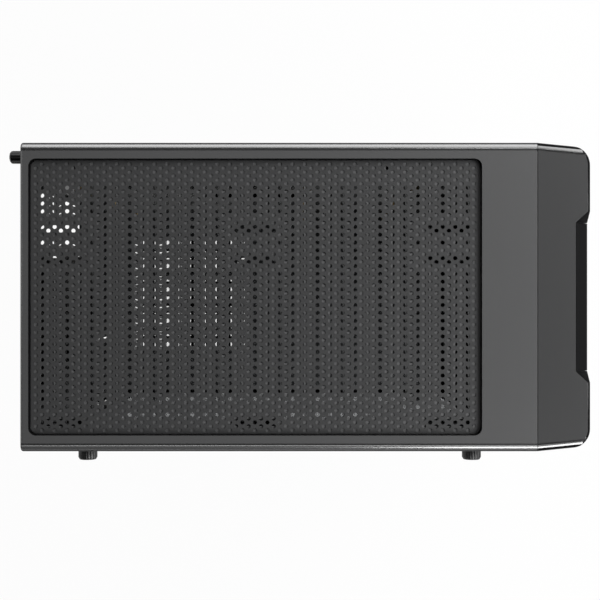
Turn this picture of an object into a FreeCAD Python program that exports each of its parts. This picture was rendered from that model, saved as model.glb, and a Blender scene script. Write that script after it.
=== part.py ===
# Mid tower computer case, empty, with a glass left side and a steel right side.
# Front is -Y, the steel side is +X, the glass side is -X, up is +Z, the feet stand on Z = 0.
# All sizes are in millimetres.
import FreeCAD, Part
import math
import os
import re

import Sketcher
from FreeCAD import Placement, Rotation, Vector

SIZES = [
    # whole case
    ("case_width", 198, "side face to side face"),
    ("case_depth", 364.5, "front face to rear face"),
    ("case_height", 455, "ground to top face"),
    ("front_depth", 33.5, "front panel, seam to front face"),
    ("steel_gauge", 0.8, "chassis and panel sheet"),
    ("fit_gap", 0.4, "between neighbouring outer panels"),
    ("slip_gap", 0.35, "round a piece that slides or turns"),
    # feet
    ("foot_height", 12, "moulded foot"),
    ("pad_height", 4, "rubber pad under it"),
    ("foot_radius", 12.5, "at the base pan"),
    ("pad_radius", 9.5, "rubber pad"),
    ("foot_inset_width", 21.5, "foot axis from the side face"),
    ("foot_inset_depth", 42, "foot axis from the seam and from the rear"),
    # top cover and its dust filter
    ("cover_rise", 3.7, "cover top above the steel roof"),
    ("cover_skin", 2, "cover wall"),
    ("cover_skirt", 9.5, "cover side, top to lower edge"),
    ("shoulder_width", 4.2, "rounded strip along each long edge"),
    ("groove_width", 1.3, "groove inside the shoulder"),
    ("groove_depth", 0.9, "groove inside the shoulder"),
    ("window_length", 289, "filter opening along the depth"),
    ("window_width", 176, "filter opening across"),
    ("window_margin", 5.75, "rear face to filter opening"),
    ("window_corner", 4.5, "corner radius of the opening"),
    ("rim_wall", 1.5, "wall round the opening"),
    ("filter_gap", 0.6, "filter edge to opening"),
    ("filter_thick", 0.6, "magnetic filter sheet"),
    ("filter_pitch", 8, "between filter slots"),
    ("filter_slot", 2.75, "width of a filter slot"),
    ("filter_slot_length", 52, "one of three in a row"),
    ("filter_slot_step", 57, "between slots in a row"),
    # roof
    ("rail_height", 30, "folded side rails of roof and base"),
    ("lip_drop", 10, "roof to the stiffening lip on its glass side rail"),
    ("lip_width", 15, "stiffening lip"),
    ("fan_slot_length", 32, "screw slot for top fans"),
    ("fan_slot_width", 4.6, "screw slot for top fans"),
    ("fan_column_first", 26.5, "first slot column from the rear face"),
    ("fan_column_step", 123.75, "between slot columns"),
    ("fan_row_wide", 55.2, "slot row for wide fans, from the steel side"),
    ("fan_row_narrow", 75.1, "slot row for narrow fans, from the steel side"),
    ("fan_row_glass", 179.6, "slot row near the glass, from the steel side"),
    ("roof_pitch", 10, "between roof vent slots"),
    ("roof_vent", 3.5, "width of a roof vent slot"),
    # glass side
    ("glass_thick", 4, "glass sheet"),
    ("glass_standoff", 1.5, "rubber ring behind the glass"),
    ("glass_corner", 3, "corner radius of the sheet"),
    ("glass_bore", 4, "radius of a hole in the glass"),
    ("knob_radius", 6.2, "glass screw head"),
    ("knob_height", 7.6, "glass screw head outside the glass"),
    ("knob_shank", 2, "glass screw thread radius"),
    ("knob_inset_depth", 39.2, "screw axis from each end of the glass"),
    ("knob_drop", 24, "upper screws below the top face"),
    ("knob_lift", 18, "lower screws above the base pan"),
    ("washer_radius", 7, "rubber ring behind the glass"),
    ("nut_radius", 4, "rivet nut"),
    ("nut_length", 7, "rivet nut behind the rail"),
    # steel side
    ("panel_fold", 8, "folded rim of the steel side"),
    ("panel_ear", 14, "rear fold that takes the screws"),
    ("thumb_radius", 4.25, "rear screw head"),
    ("thumb_head", 11.5, "rear screw head outside the case"),
    ("thumb_shank", 1.75, "rear screw thread radius"),
    ("thumb_inset", 7.3, "screw axis from the steel side"),
    ("thumb_drop", 21, "upper screw below the top face"),
    ("thumb_lift", 24, "lower screw above the base pan"),
    # inside
    ("tray_inset", 21.7, "steel side to the board face of the tray"),
    ("standoff_length", 6.5, "board standoff"),
    ("standoff_radius", 3.2, "across the corners of the hexagon"),
    ("standoff_bore", 1.5, "thread radius of a standoff"),
    ("board_drop", 46, "first standoff row below the top face"),
    ("board_row_middle", 157.48, "first row to middle row"),
    ("board_row_last", 281.94, "first row to last row"),
    ("board_setback", 29, "first standoff column from the rear face"),
    ("board_column_middle", 154.94, "first column to middle column"),
    ("board_column_last", 227.33, "first column to last column"),
    ("cpu_window_width", 132, "tray opening along the depth"),
    ("cpu_window_height", 112, "tray opening upwards"),
    ("cpu_window_setback", 58, "rear face to tray opening"),
    ("cpu_window_drop", 62, "top face to tray opening"),
    ("grommet_height", 72, "cable opening upwards"),
    ("grommet_width", 26, "cable opening along the depth"),
    ("grommet_rim", 3, "rubber lip over the tray"),
    ("grommet_setback", 276, "rear face to the cable openings' middle"),
    ("grommet_edge", 70, "outer cable openings' middle to the ceiling and the shroud"),
    ("shroud_height", 94, "base pan to shroud top"),
    ("shroud_inset", 9, "shroud wall from the glass side rail"),
    ("shroud_gap", 36, "shroud front edge from the front plate"),
    ("bay_edge_front", 4, "tray left at the front of the lower bay's opening"),
    ("bay_edge_rear", 14, "tray left at the rear of the lower bay's opening"),
    # rear wall
    ("port_drop", 41.5, "top face to the port opening"),
    ("port_width", 44.45, "port opening across"),
    ("port_height", 158.75, "port opening upwards"),
    ("port_offset", 4.3, "tray to the port opening"),
    ("slot_pitch", 20.32, "between expansion slots"),
    ("slot_first", 10.5, "port opening to the first slot axis"),
    ("slot_length", 98, "slot opening across"),
    ("slot_width", 13, "slot opening upwards"),
    ("slot_offset", 9, "tray to the slot openings"),
    ("slot_cover_width", 18.4, "cover plate upwards"),
    ("shelf_depth", 10.5, "screw shelf behind the rear wall"),
    ("slot_screw_radius", 3.2, "screw head"),
    ("slot_screw_height", 2.2, "screw head"),
    ("psu_width", 150, "power supply across"),
    ("psu_height", 86, "power supply upwards"),
    ("psu_rim", 12, "rear wall left round the power supply"),
    ("psu_hole", 2.1, "screw hole radius"),
    # power supply intake and its filter
    ("intake_pitch", 11, "between intake holes"),
    ("intake_hole", 8, "side of a square intake hole"),
    ("intake_setback", 10, "rear face to intake"),
    ("intake_side", 41, "steel side to intake"),
    ("intake_margin", 6, "intake to the feet's edge, at least"),
    ("tray_filter_thick", 3.2, "sliding filter frame"),
    ("tray_filter_rim", 4, "frame width"),
    ("rail_wall", 1.2, "filter rail sheet"),
    ("psu_pad_thick", 2, "foam under the power supply"),
    # rear fan
    ("fan_size", 120, "fan frame"),
    ("fan_depth", 25, "fan frame"),
    ("fan_bore", 58, "duct radius"),
    ("fan_span", 105, "between screw holes"),
    ("fan_hole", 2.2, "screw hole radius"),
    ("fan_flange", 4, "corner plates"),
    ("fan_hub", 20, "hub radius"),
    ("fan_tip", 56, "blade tip radius"),
    ("fan_drop", 70, "fan axis below the roof"),
    ("fan_side_gap", 0.6, "fan frame to the glass side rail"),
    ("fan_boss", 3, "wall round a fan screw hole"),
    ("fan_shaft", 1.5, "shaft radius"),
    # front plate
    ("front_fan_step", 120, "between front fan openings"),
    ("front_fan_bore", 57, "front fan opening radius"),
    # front panel
    ("bezel_floor", 10, "ground to the front panel"),
    ("bezel_wall", 3, "moulded wall"),
    ("bezel_taper", 3.35, "flank narrows by this at the front"),
    ("bezel_corner", 12.5, "corner radius in plan"),
    ("bezel_edge", 1.7, "rounding of the top front edge"),
    ("channel_half", 47.7, "half width of the channel floor"),
    ("channel_mouth", 56.2, "half width of the channel at the front face"),
    ("channel_depth", 0.6, "front face to channel floor"),
    ("notch_depth", 9.4, "front face to the notch edge in the top"),
    ("notch_drop", 6.7, "slope of the notch below the top"),
    ("rib_depth", 14, "front face to the back of the moulded ribs"),
    ("wing_inner", 62, "wing pocket, from the middle"),
    ("wing_outer", 81, "wing pocket, from the middle"),
    ("grille_gauge", 1.2, "grille sheet"),
    ("grille_fold", 9, "grille edge folded back"),
    ("clip_radius", 3, "clip pin"),
    ("clip_length", 7, "clip pin behind the seam"),
    ("clip_shoulder", 1.4, "peg wider than its pin all round"),
    ("clip_span", 55, "clip from the middle"),
    ("front_filter_thick", 2.5, "front filter frame"),
    # front panel controls
    ("control_span", 71.5, "controls from the middle"),
    ("control_drop", 26, "top face to the control plate"),
    ("control_length", 118, "control plate upwards"),
    ("control_half", 8.6, "half width of the opening for the control plate"),
    ("control_gap", 0.15, "control plate to its opening"),
    ("control_lip", 2.2, "control plate behind the bezel at its ends"),
    ("control_lip_gauge", 1.2, "control plate lip"),
    ("power_radius", 7, "power button"),
    ("reset_radius", 3.2, "reset button"),
    ("button_travel", 1.5, "button press"),
    ("button_proud", 0.8, "button above the front face"),
    ("button_lip", 1.4, "button flange"),
    ("power_drop", 40, "top face to power button"),
    ("reset_drop", 58, "top face to reset button"),
    ("lens_drop", 69, "top face to first lens"),
    ("lens_radius", 1.4, "indicator lens"),
    ("lens_step", 6, "between lenses"),
    ("lens_gap", 0.1, "lens to its hole"),
    ("usb_drop", 88, "top face to first data port"),
    ("usb_step", 17, "between data ports"),
    ("usb_width", 13.1, "port shell across"),
    ("usb_height", 5.8, "port shell upwards"),
    ("usb_wall", 0.4, "port shell sheet"),
    ("jack_drop", 123, "top face to first sound jack"),
    ("jack_step", 14, "between sound jacks"),
    ("jack_radius", 3.6, "jack nose"),
    ("jack_bore", 1.8, "jack hole"),
    ("port_gap", 0.2, "port or jack to its hole"),
    ("board_gauge", 1.6, "control board"),
    ("board_half", 11.5, "control board, middle to edge"),
    ("control_board_drop", 6, "control board below the top"),
    ("board_length", 149, "control board, upright"),
    ("board_hole", 1.6, "control board screw hole"),
    ("board_screw_top", 10, "upper board screw below the top"),
    ("board_screw_low", 150, "lower board screw below the top"),
    ("board_screw_head", 2.6, "board screw head"),
    ("board_screw_height", 1.8, "board screw head"),
    ("board_screw_shank", 1.15, "board screw shank"),
    ("board_screw_length", 5, "board screw in its post"),
    ("board_pilot", 1.3, "hole for a board screw"),
    ("board_post_radius", 3, "post under the lower board screw"),
    ("port_recess", 0.3, "port shell behind the front face"),
    ("tongue_half", 5.4, "port tongue, middle to edge"),
    ("tongue_rise", 0.3, "port tongue above the port's middle"),
    ("tongue_thick", 1.8, "port tongue"),
    ("tongue_recess", 2, "port tongue behind the front face"),
    ("jack_half", 4.2, "jack housing, middle to edge"),
    ("jack_recess", 0.2, "jack nose behind the front face"),
    ("lens_recess", 0.1, "lens behind the front face"),
    ("lens_tail", 3, "lens behind the wall"),
    ("switch_half", 3, "switch body, middle to edge"),
    ("switch_height", 4, "switch body off the board"),
    ("plunger_height", 1.2, "switch plunger off its body"),
    ("plunger_radius", 1.7, "switch plunger"),
    ("button_bevel", 0.6, "button front edge"),
    ("button_flange", 1.3, "button flange beyond the button"),
    ("button_gap", 0.1, "button flange behind the wall"),
    ("button_stem", 1.8, "stem that meets the switch"),
    ("button_play", 0.4, "stem short of the pressed switch"),
    ("front_filter_half", 50, "front filter, middle to edge"),
    ("front_filter_rim", 4, "front filter frame"),
    ("front_mesh", 0.4, "front filter mesh"),
    ("grille_slot", 3.2, "grille slot"),
    ("grille_slot_pitch", 5.8, "grille slot to slot"),
    ("grille_slot_length", 42, "grille slot"),
    ("grille_slot_inset", 8, "lowest grille slot above the grille's foot"),
    ("grille_margin", 10, "left plain along the grille's length"),
    ("slope_step", 0.6, "grille slope below the top"),
    ("slope_thick", 3.6, "grille slope, upright"),
    ("cover_corner", 1.5, "cover's rear corners"),
    ("opening_edge", 0.5, "rounding round the filter opening"),
    ("roof_hole", 2.2, "round hole in the roof"),
    ("roof_hole_offset", 83, "round hole from the middle"),
    ("roof_hole_rear", 35.5, "round hole from the rear face"),
    ("roof_hole_front", 235.5, "round hole from the rear face"),
    ("vent_clear", 7, "vent slots from a row of fan slots"),
    ("vent_reach_steel", 71, "vent slots from the middle, steel side"),
    ("vent_reach_glass", 66, "vent slots from the middle, glass side"),
    ("cage_front", 6, "drive cage behind the shroud's front"),
    ("cage_length", 120, "drive cage along the case"),
    ("cage_width", 105, "drive cage"),
    ("cage_height", 66, "drive cage"),
    ("cage_inset", 10, "drive cage from the tray"),
    ("cage_ledge", 8, "ledge and lip inside the drive cage"),
    ("cage_step", 32, "drive cage ledge above the floor"),
    ("drive_hole", 1.8, "hole for a drive screw"),
    ("bracket_rear", 95, "drive bracket from the rear face"),
    ("bracket_length", 110, "drive bracket along the case"),
    ("bracket_half", 37, "drive bracket, middle to edge"),
    ("bracket_lift", 6, "drive bracket off the tray"),
    ("bracket_upper", 125, "upper bracket's middle above the shroud"),
    ("bracket_lower", 45, "lower bracket's middle above the shroud"),
    ("bracket_hole", 1.6, "drive screw hole in a bracket"),
    ("bracket_hole_along", 38.3, "drive screw hole from the bracket's middle"),
    ("bracket_hole_up", 30.9, "drive screw hole from the bracket's middle"),
]

# Places that several pieces share, each worked out from the sizes.
PLACES = {
    "x_mid": "knob_height / 2",
    "x_right": "x_mid + case_width / 2",
    "x_left": "x_mid - case_width / 2",
    "y_front": "-(case_depth + thumb_head - button_proud) / 2",
    "y_rear": "y_front + case_depth",
    "y_back": "y_rear - steel_gauge",
    "y_wall": "y_back - steel_gauge",
    "y_seam": "y_front + front_depth",
    "y_inner": "y_seam + steel_gauge",
    "z_base": "foot_height + pad_height",
    "z_floor": "z_base + steel_gauge",
    "z_top": "case_height",
    "z_roof": "case_height - cover_rise",
    "z_ceiling": "z_roof - steel_gauge",
    "z_skirt": "case_height - cover_skirt",
    "x_core_left": "x_left + glass_thick + glass_standoff",
    "x_core_right": "x_right - panel_fold - steel_gauge - fit_gap",
    "x_tray": "x_right - tray_inset",
    "z_shroud": "z_base + shroud_height",
    "x_shroud": "x_core_left + shroud_inset",
    "y_shroud": "y_inner + shroud_gap",
    "y_window": "y_rear - window_margin - window_length / 2",
    "z_port_top": "case_height - port_drop",
    "z_port_low": "z_port_top - port_height",
    "x_port": "x_tray - port_offset",
    "x_slot": "x_tray - slot_offset",
    "x_shelf": "x_slot - slot_length - 5",
    "x_fan": "x_core_left + steel_gauge + fan_side_gap + fan_size / 2",
    "z_fan": "z_ceiling - fan_drop",
    "y_fan": "y_wall - fan_depth",
    "x_psu": "x_mid",
    "y_intake": "y_rear - intake_setback",
    "x_intake": "x_right - intake_side",
    "z_mid": "(z_base + z_ceiling) / 2",
    "x_control": "x_mid + control_span",
    "y_board": "y_front + rib_depth",
    "z_control_top": "z_top - control_drop",
    "z_control_low": "z_control_top - control_length",
    "z_knob_top": "case_height - knob_drop",
    "z_knob_low": "z_base + knob_lift",
    "z_thumb_top": "case_height - thumb_drop",
    "z_thumb_low": "z_base + thumb_lift",
    "x_thumb": "x_right - thumb_inset",
    "z_grille_low": "bezel_floor + rib_depth",
    "z_notch": "case_height - notch_drop",
}

doc = FreeCAD.newDocument("mid_tower_case")
sheet = doc.addObject("Spreadsheet::Sheet", "Sizes")
for row, (alias, size, note) in enumerate(SIZES, 1):
    sheet.set(f"A{row}", "'" + note)
    sheet.set(f"B{row}", str(size))
    sheet.setAlias(f"B{row}", alias)
doc.recompute()

ALIASES = {alias for alias, size, note in SIZES}
WORD = re.compile(r"[a-z_]+")


def formula(text):
    """Write a size or place as an expression on the sheet's cells."""

    def swap(match):
        word = match.group(0)
        if word in PLACES:
            return "(" + formula(PLACES[word]) + ")"
        if word in ALIASES:
            return "Sizes." + word
        return word

    return WORD.sub(swap, str(text))


def measure(text):
    """The number a formula gives now."""
    return float(sheet.evalExpression(formula(text)))


def bind(obj, settings):
    """Tie properties of an object to formulas."""
    for name, text in settings.items():
        obj.setExpression(name, formula(text))


def box(label, across, along, up):
    """A block between two places on each axis."""
    block = doc.addObject("Part::Box", label)
    lengths = ("Length", "Width", "Height")
    for axis, length, (low, high) in zip("xyz", lengths, (across, along, up)):
        bind(block, {length: f"({high}) - ({low})", f"Placement.Base.{axis}": low})
    return block


TURN = {
    "x": Rotation(Vector(0, 1, 0), 90),
    "y": Rotation(Vector(1, 0, 0), -90),
    "z": Rotation(),
}


def rod(label, axis, radius, ends, centre):
    """A cylinder along an axis; the centre is given on the other two axes in X, Y, Z order."""
    cylinder = doc.addObject("Part::Cylinder", label)
    cylinder.Placement = Placement(Vector(), TURN[axis])
    low, high = ends
    others = [name for name in "xyz" if name != axis]
    bind(cylinder, {"Radius": radius, "Height": f"({high}) - ({low})"})
    bind(cylinder, {f"Placement.Base.{axis}": low})
    bind(cylinder, {f"Placement.Base.{name}": text for name, text in zip(others, centre)})
    return cylinder


def cone(label, axis, radii, ends, centre):
    """A truncated cone along an axis."""
    taper = doc.addObject("Part::Cone", label)
    taper.Placement = Placement(Vector(), TURN[axis])
    low, high = ends
    others = [name for name in "xyz" if name != axis]
    bind(taper, {"Radius1": radii[0], "Radius2": radii[1], "Height": f"({high}) - ({low})"})
    bind(taper, {f"Placement.Base.{axis}": low})
    bind(taper, {f"Placement.Base.{name}": text for name, text in zip(others, centre)})
    return taper


def fuse(label, pieces):
    union = doc.addObject("Part::MultiFuse", label)
    union.Shapes = pieces
    union.Refine = True
    return union


def group(label, pieces):
    """Separate solids that belong to one piece."""
    compound = doc.addObject("Part::Compound", label)
    compound.Links = pieces
    return compound


def cut(label, base, tools):
    rest = doc.addObject("Part::Cut", label)
    rest.Base = base
    rest.Tool = tools[0] if len(tools) == 1 else group(label + "_tools", tools)
    rest.Refine = True
    return rest


def round_edges(label, base, radius, wanted):
    """Round the edges of a piece that the test picks."""
    doc.recompute()
    size = measure(radius)
    rounded = doc.addObject("Part::Fillet", label)
    rounded.Base = base
    edges = enumerate(base.Shape.Edges, 1)
    rounded.Edges = [(number, size, size) for number, edge in edges if wanted(edge)]
    return rounded


def runs_along(edge, axis):
    """True for a straight edge parallel to an axis."""
    if edge.Curve.TypeId != "Part::GeomLine":
        return False
    return abs(getattr(edge.Curve.Direction, axis)) > 0.999


def slot(label, middle, length, width, up):
    """A rounded slot along Y, through a flat sheet."""
    across, along = middle
    half = f"(({length}) - ({width})) / 2"
    bar = box(label + "_bar", (f"{across} - ({width}) / 2", f"{across} + ({width}) / 2"),
              (f"{along} - {half}", f"{along} + {half}"), up)
    ends = [
        rod(f"{label}_{side}", "z", f"({width}) / 2", up, (across, f"{along} {sign} {half}"))
        for side, sign in (("front", "-"), ("rear", "+"))
    ]
    return fuse(label, [bar] + ends)


# As many intake rows as fit beside the feet, and as many slots as fit above the shroud.
intake_room = "case_width - intake_side - foot_inset_width - foot_radius - intake_margin"
PLACES["intake_rows"] = str(int(measure(f"({intake_room}) / intake_pitch")))
intake_rows = int(PLACES["intake_rows"])
slot_room = "z_port_low - slot_first - slot_cover_width / 2 - z_shroud"
slot_count = int(measure(f"({slot_room}) / slot_pitch")) + 1
PLACES["z_slot_top"] = "z_port_low - slot_first + slot_pitch / 2"
PLACES["z_slot_low"] = f"z_slot_top - {slot_count} * slot_pitch"

pieces = []


def keep(piece):
    """List a finished piece for writing."""
    pieces.append(piece)
    return piece


# Base pan: folded steel floor with side rails, foot holes and the power supply's intake grille.
base_plate = box("base_plate", ("x_core_left", "x_core_right"), ("y_inner", "y_wall"),
                 ("z_base", "z_floor"))
base_rails = [
    box("base_rail_glass", ("x_core_left", "x_core_left + steel_gauge"), ("y_inner", "y_wall"),
        ("z_base", "z_base + rail_height")),
    box("base_rail_steel", ("x_core_right - steel_gauge", "x_core_right"), ("y_inner", "y_wall"),
        ("z_base", "z_base + rail_height")),
]
intake_holes = []
for column in range(11):
    for row in range(intake_rows):
        near = f"y_intake - {column} * intake_pitch"
        side = f"x_intake - {row} * intake_pitch"
        intake_holes.append(box(f"intake_{column}_{row}", (f"{side} - intake_hole", side),
                                (f"{near} - intake_hole", near), ("z_base - 1", "z_floor + 1")))
lower_nut_holes = [
    rod(f"lower_nut_hole_{end}", "x", "nut_radius", ("x_core_left - 1", "x_core_left + 2"),
        (place, "z_knob_low"))
    for end, place in (("front", "y_seam + knob_inset_depth"), ("rear", "y_rear - knob_inset_depth"))
]
bay_along = ("y_shroud + bay_edge_front", "y_wall - bay_edge_rear")
bay_gap = box("bay_gap", ("x_core_right - 2 * steel_gauge", "x_core_right + 1"), bay_along,
              ("z_floor", "z_base + rail_height + 1"))
base_folded = fuse("base_folded", [base_plate] + base_rails)
keep(cut("base_pan", base_folded, intake_holes + lower_nut_holes + [bay_gap]))

# Rear wall: port opening, fan grille, expansion slots, power supply opening, screw holes.
rear_core = box("rear_core", ("x_core_left", "x_core_right"), ("y_wall", "y_back"),
                ("z_base", "z_ceiling"))
rear_ear = box("rear_ear", ("x_core_right - 1", "x_right - steel_gauge - fit_gap"),
               ("y_wall", "y_back"), ("z_base + 4", "z_skirt - 4"))
through = ("y_wall - 1", "y_back + 1")
rear_cuts = [
    box("port_opening", ("x_port - port_width", "x_port"), through, ("z_port_low", "z_port_top")),
    box("psu_opening", ("x_psu - psu_width / 2 + psu_rim", "x_psu + psu_width / 2 - psu_rim"),
        through, ("z_floor + psu_rim", "z_floor + psu_height - psu_rim")),
]
for number in range(slot_count):
    level = f"z_port_low - slot_first - {number} * slot_pitch"
    rear_cuts.append(box(f"slot_opening_{number + 1}", ("x_slot - slot_length", "x_slot"), through,
                         (f"{level} - slot_width / 2", f"{level} + slot_width / 2")))
rear_cuts.append(box("tab_opening", ("x_shelf - 4", "x_shelf + 1.6"), through,
                     ("z_slot_low", "z_slot_top")))
for name, across, up in (("a", "- 69", "+ 80"), ("b", "+ 69", "+ 80"), ("c", "- 69", "+ 16"),
                         ("d", "+ 45", "+ 6")):
    rear_cuts.append(rod(f"psu_hole_{name}", "y", "psu_hole", through, (f"x_psu {across}", f"z_floor {up}")))
for name, level in (("top", "z_thumb_top"), ("low", "z_thumb_low")):
    rear_cuts.append(rod(f"thumb_hole_{name}", "y", "thumb_shank + slip_gap", through, ("x_thumb", level)))
for across in ("-", "+"):
    for up in ("-", "+"):
        rear_cuts.append(rod(f"fan_hole_{len(rear_cuts)}", "y", "fan_hole", through,
                             (f"x_fan {across} fan_span / 2", f"z_fan {up} fan_span / 2")))
rings = []
for number in range(5):
    outer = f"fan_bore - 1 - {number} * 9"
    disc = rod(f"ring_disc_{number}", "y", outer, through, ("x_fan", "z_fan"))
    core = rod(f"ring_core_{number}", "y", f"{outer} - 6", ("y_wall - 2", "y_back + 2"), ("x_fan", "z_fan"))
    rings.append(cut(f"ring_{number}", disc, [core]))
spokes = []
for number in range(4):
    spoke = doc.addObject("Part::Box", f"spoke_{number}")
    bind(spoke, {"Length": "2 * fan_bore + 4", "Width": "steel_gauge + 6", "Height": "4"})
    turn = Rotation(Vector(0, 1, 0), 22.5 + 45 * number)
    spoke.Placement = Placement(Vector(), turn)
    reach = math.radians(22.5 + 45 * number)
    bind(spoke, {
        "Placement.Base.x": f"x_fan - (fan_bore + 2) * {math.cos(reach):.6f} - 2 * {math.sin(reach):.6f}",
        "Placement.Base.y": "y_wall - 3",
        "Placement.Base.z": f"z_fan + (fan_bore + 2) * {math.sin(reach):.6f} - 2 * {math.cos(reach):.6f}",
    })
    spokes.append(spoke)
grille_arcs = cut("grille_arcs", group("grille_rings", rings), [fuse("grille_spokes", spokes)])
rear_blank = fuse("rear_blank", [rear_core, rear_ear])
keep(cut("rear_panel", rear_blank, rear_cuts + [grille_arcs]))

# Motherboard tray: upright sheet with a cooler opening, cable openings and standoff holes.
tray_sheet = box("tray_sheet", ("x_tray", "x_tray + steel_gauge"), ("y_inner", "y_wall"),
                 ("z_floor", "z_ceiling"))
tray_fold = box("tray_fold", ("x_tray", "x_core_right - steel_gauge"), ("y_inner", "y_inner + steel_gauge"),
                ("z_floor", "z_ceiling"))
sideways = ("x_tray - 1", "x_tray + steel_gauge + 1")
tray_cuts = [
    box("cpu_window", sideways,
        ("y_rear - cpu_window_setback - cpu_window_width", "y_rear - cpu_window_setback"),
        ("z_top - cpu_window_drop - cpu_window_height", "z_top - cpu_window_drop")),
    box("bay_window", sideways, bay_along, ("z_floor - 1", "z_shroud - steel_gauge")),
]
GROMMETS = {
    "upper": "z_ceiling - grommet_edge",
    "middle": "(z_ceiling + z_shroud) / 2",
    "lower": "z_shroud + grommet_edge",
}
for name, level in GROMMETS.items():
    tray_cuts.append(box(f"cable_opening_{name}", sideways,
                         ("y_rear - grommet_setback - grommet_width / 2",
                          "y_rear - grommet_setback + grommet_width / 2"),
                         (f"{level} - grommet_height / 2", f"{level} + grommet_height / 2")))
COLUMNS = ("0", "board_column_middle", "board_column_last")
ROWS = [
    row for row in ("0", "board_row_middle", "board_row_last")
    if measure(f"z_top - board_drop - {row} - standoff_radius") > measure("z_shroud")
]
standoff_places = [
    (f"y_rear - board_setback - {column}", f"z_top - board_drop - {row}")
    for column in COLUMNS
    for row in ROWS
]
for number, place in enumerate(standoff_places, 1):
    tray_cuts.append(rod(f"tray_hole_{number}", "x", "standoff_bore", sideways, place))
keep(cut("motherboard_tray", fuse("tray_folded", [tray_sheet, tray_fold]), tray_cuts))

# Standoffs: hexagonal posts that carry the board.
standoff_list = []
for number, (along, up) in enumerate(standoff_places, 1):
    post = doc.addObject("Part::Prism", f"standoff_post_{number}")
    post.Polygon = 6
    post.Placement = Placement(Vector(), TURN["x"])
    bind(post, {
        "Circumradius": "standoff_radius",
        "Height": "standoff_length",
        "Placement.Base.x": "x_tray - standoff_length",
        "Placement.Base.y": along,
        "Placement.Base.z": up,
    })
    thread = rod(f"standoff_thread_{number}", "x", "standoff_bore",
                 ("x_tray - standoff_length - 1", "x_tray + 1"), (along, up))
    standoff_list.append(cut(f"standoff_{number}", post, [thread]))
keep(group("standoffs", standoff_list))

# Cable grommets: rubber frames pressed over the edges of the cable openings, with a slit web.
for name, level in GROMMETS.items():
    middle = "y_rear - grommet_setback"
    wide = "grommet_width / 2"
    tall = "grommet_height / 2"
    lips = [
        box(f"grommet_lip_{side}_{name}", across,
            (f"{middle} - {wide} - grommet_rim", f"{middle} + {wide} + grommet_rim"),
            (f"{level} - {tall} - grommet_rim", f"{level} + {tall} + grommet_rim"))
        for side, across in (("front", ("x_tray - 1.5", "x_tray")),
                             ("back", ("x_tray + steel_gauge", "x_tray + steel_gauge + 1.5")))
    ]
    neck = box(f"grommet_neck_{name}", ("x_tray - 1.5", "x_tray + steel_gauge + 1.5"),
               (f"{middle} - {wide}", f"{middle} + {wide}"), (f"{level} - {tall}", f"{level} + {tall}"))
    slit = box(f"grommet_slit_{name}", ("x_tray - 3", "x_tray + 4"), (f"{middle} - 1", f"{middle} + 1"),
               (f"{level} - {tall} + 6", f"{level} + {tall} - 6"))
    notches = [
        box(f"grommet_notch_{name}_{step}", ("x_tray - 3", "x_tray + 4"),
            (f"{middle} - {wide} + 4", f"{middle} + {wide} - 4"),
            (f"{level} + {step} * grommet_height / 6 - 0.8", f"{level} + {step} * grommet_height / 6 + 0.8"))
        for step in (-2, -1, 0, 1, 2)
    ]
    cross = fuse(f"grommet_slits_{name}", [slit] + notches)
    keep(cut(f"cable_grommet_{name}", fuse(f"grommet_blank_{name}", lips + [neck]), [cross]))

# Roof: steel sheet under the filter, with fan screw slots, vent slots and side rails.
roof_plate = box("roof_plate", ("x_core_left", "x_core_right"), ("y_inner", "y_back"),
                 ("z_ceiling", "z_roof"))
roof_rails = [
    box("roof_rail_glass", ("x_core_left", "x_core_left + steel_gauge"), ("y_inner", "y_wall"),
        ("z_roof - rail_height", "z_roof")),
    box("roof_rail_steel", ("x_core_right - steel_gauge", "x_core_right"), ("y_inner", "y_wall"),
        ("z_roof - rail_height", "z_roof")),
    box("roof_rail_lip", ("x_core_left", "x_core_left + lip_width"), ("y_inner + 13", "y_fan - 1"),
        ("z_roof - lip_drop", "z_roof - lip_drop + steel_gauge")),
]
upright = ("z_ceiling - 1", "z_roof + 1")
roof_cuts = []
for column in range(3):
    for name in ("wide", "narrow", "glass"):
        middle = (f"x_right - fan_row_{name}", f"y_rear - fan_column_first - {column} * fan_column_step")
        roof_cuts.append(slot(f"fan_slot_{name}_{column + 1}", middle, "fan_slot_length", "fan_slot_width",
                              upright))
for column in range(27):
    along = f"y_window + {column - 13} * roof_pitch"
    strip = (f"{along} - roof_vent / 2", f"{along} + roof_vent / 2")
    roof_cuts.append(box(f"roof_vent_outer_{column + 1}",
                         ("x_right - fan_row_wide + vent_clear", "x_mid + vent_reach_steel"),
                         strip, upright))
    roof_cuts.append(box(f"roof_vent_inner_{column + 1}",
                         ("x_mid - vent_reach_glass", "x_right - fan_row_narrow - vent_clear"),
                         strip, upright))
for name in ("rear", "front"):
    roof_cuts.append(rod(f"roof_hole_{name}", "z", "roof_hole", upright,
                         ("x_mid + roof_hole_offset", f"y_rear - roof_hole_{name}")))
for end, place in (("front", "y_seam + knob_inset_depth"), ("rear", "y_rear - knob_inset_depth")):
    roof_cuts.append(rod(f"upper_nut_hole_{end}", "x", "nut_radius", ("x_core_left - 1", "x_core_left + 2"),
                         (place, "z_knob_top")))
keep(cut("roof_panel", fuse("roof_folded", [roof_plate] + roof_rails), roof_cuts))

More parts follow.
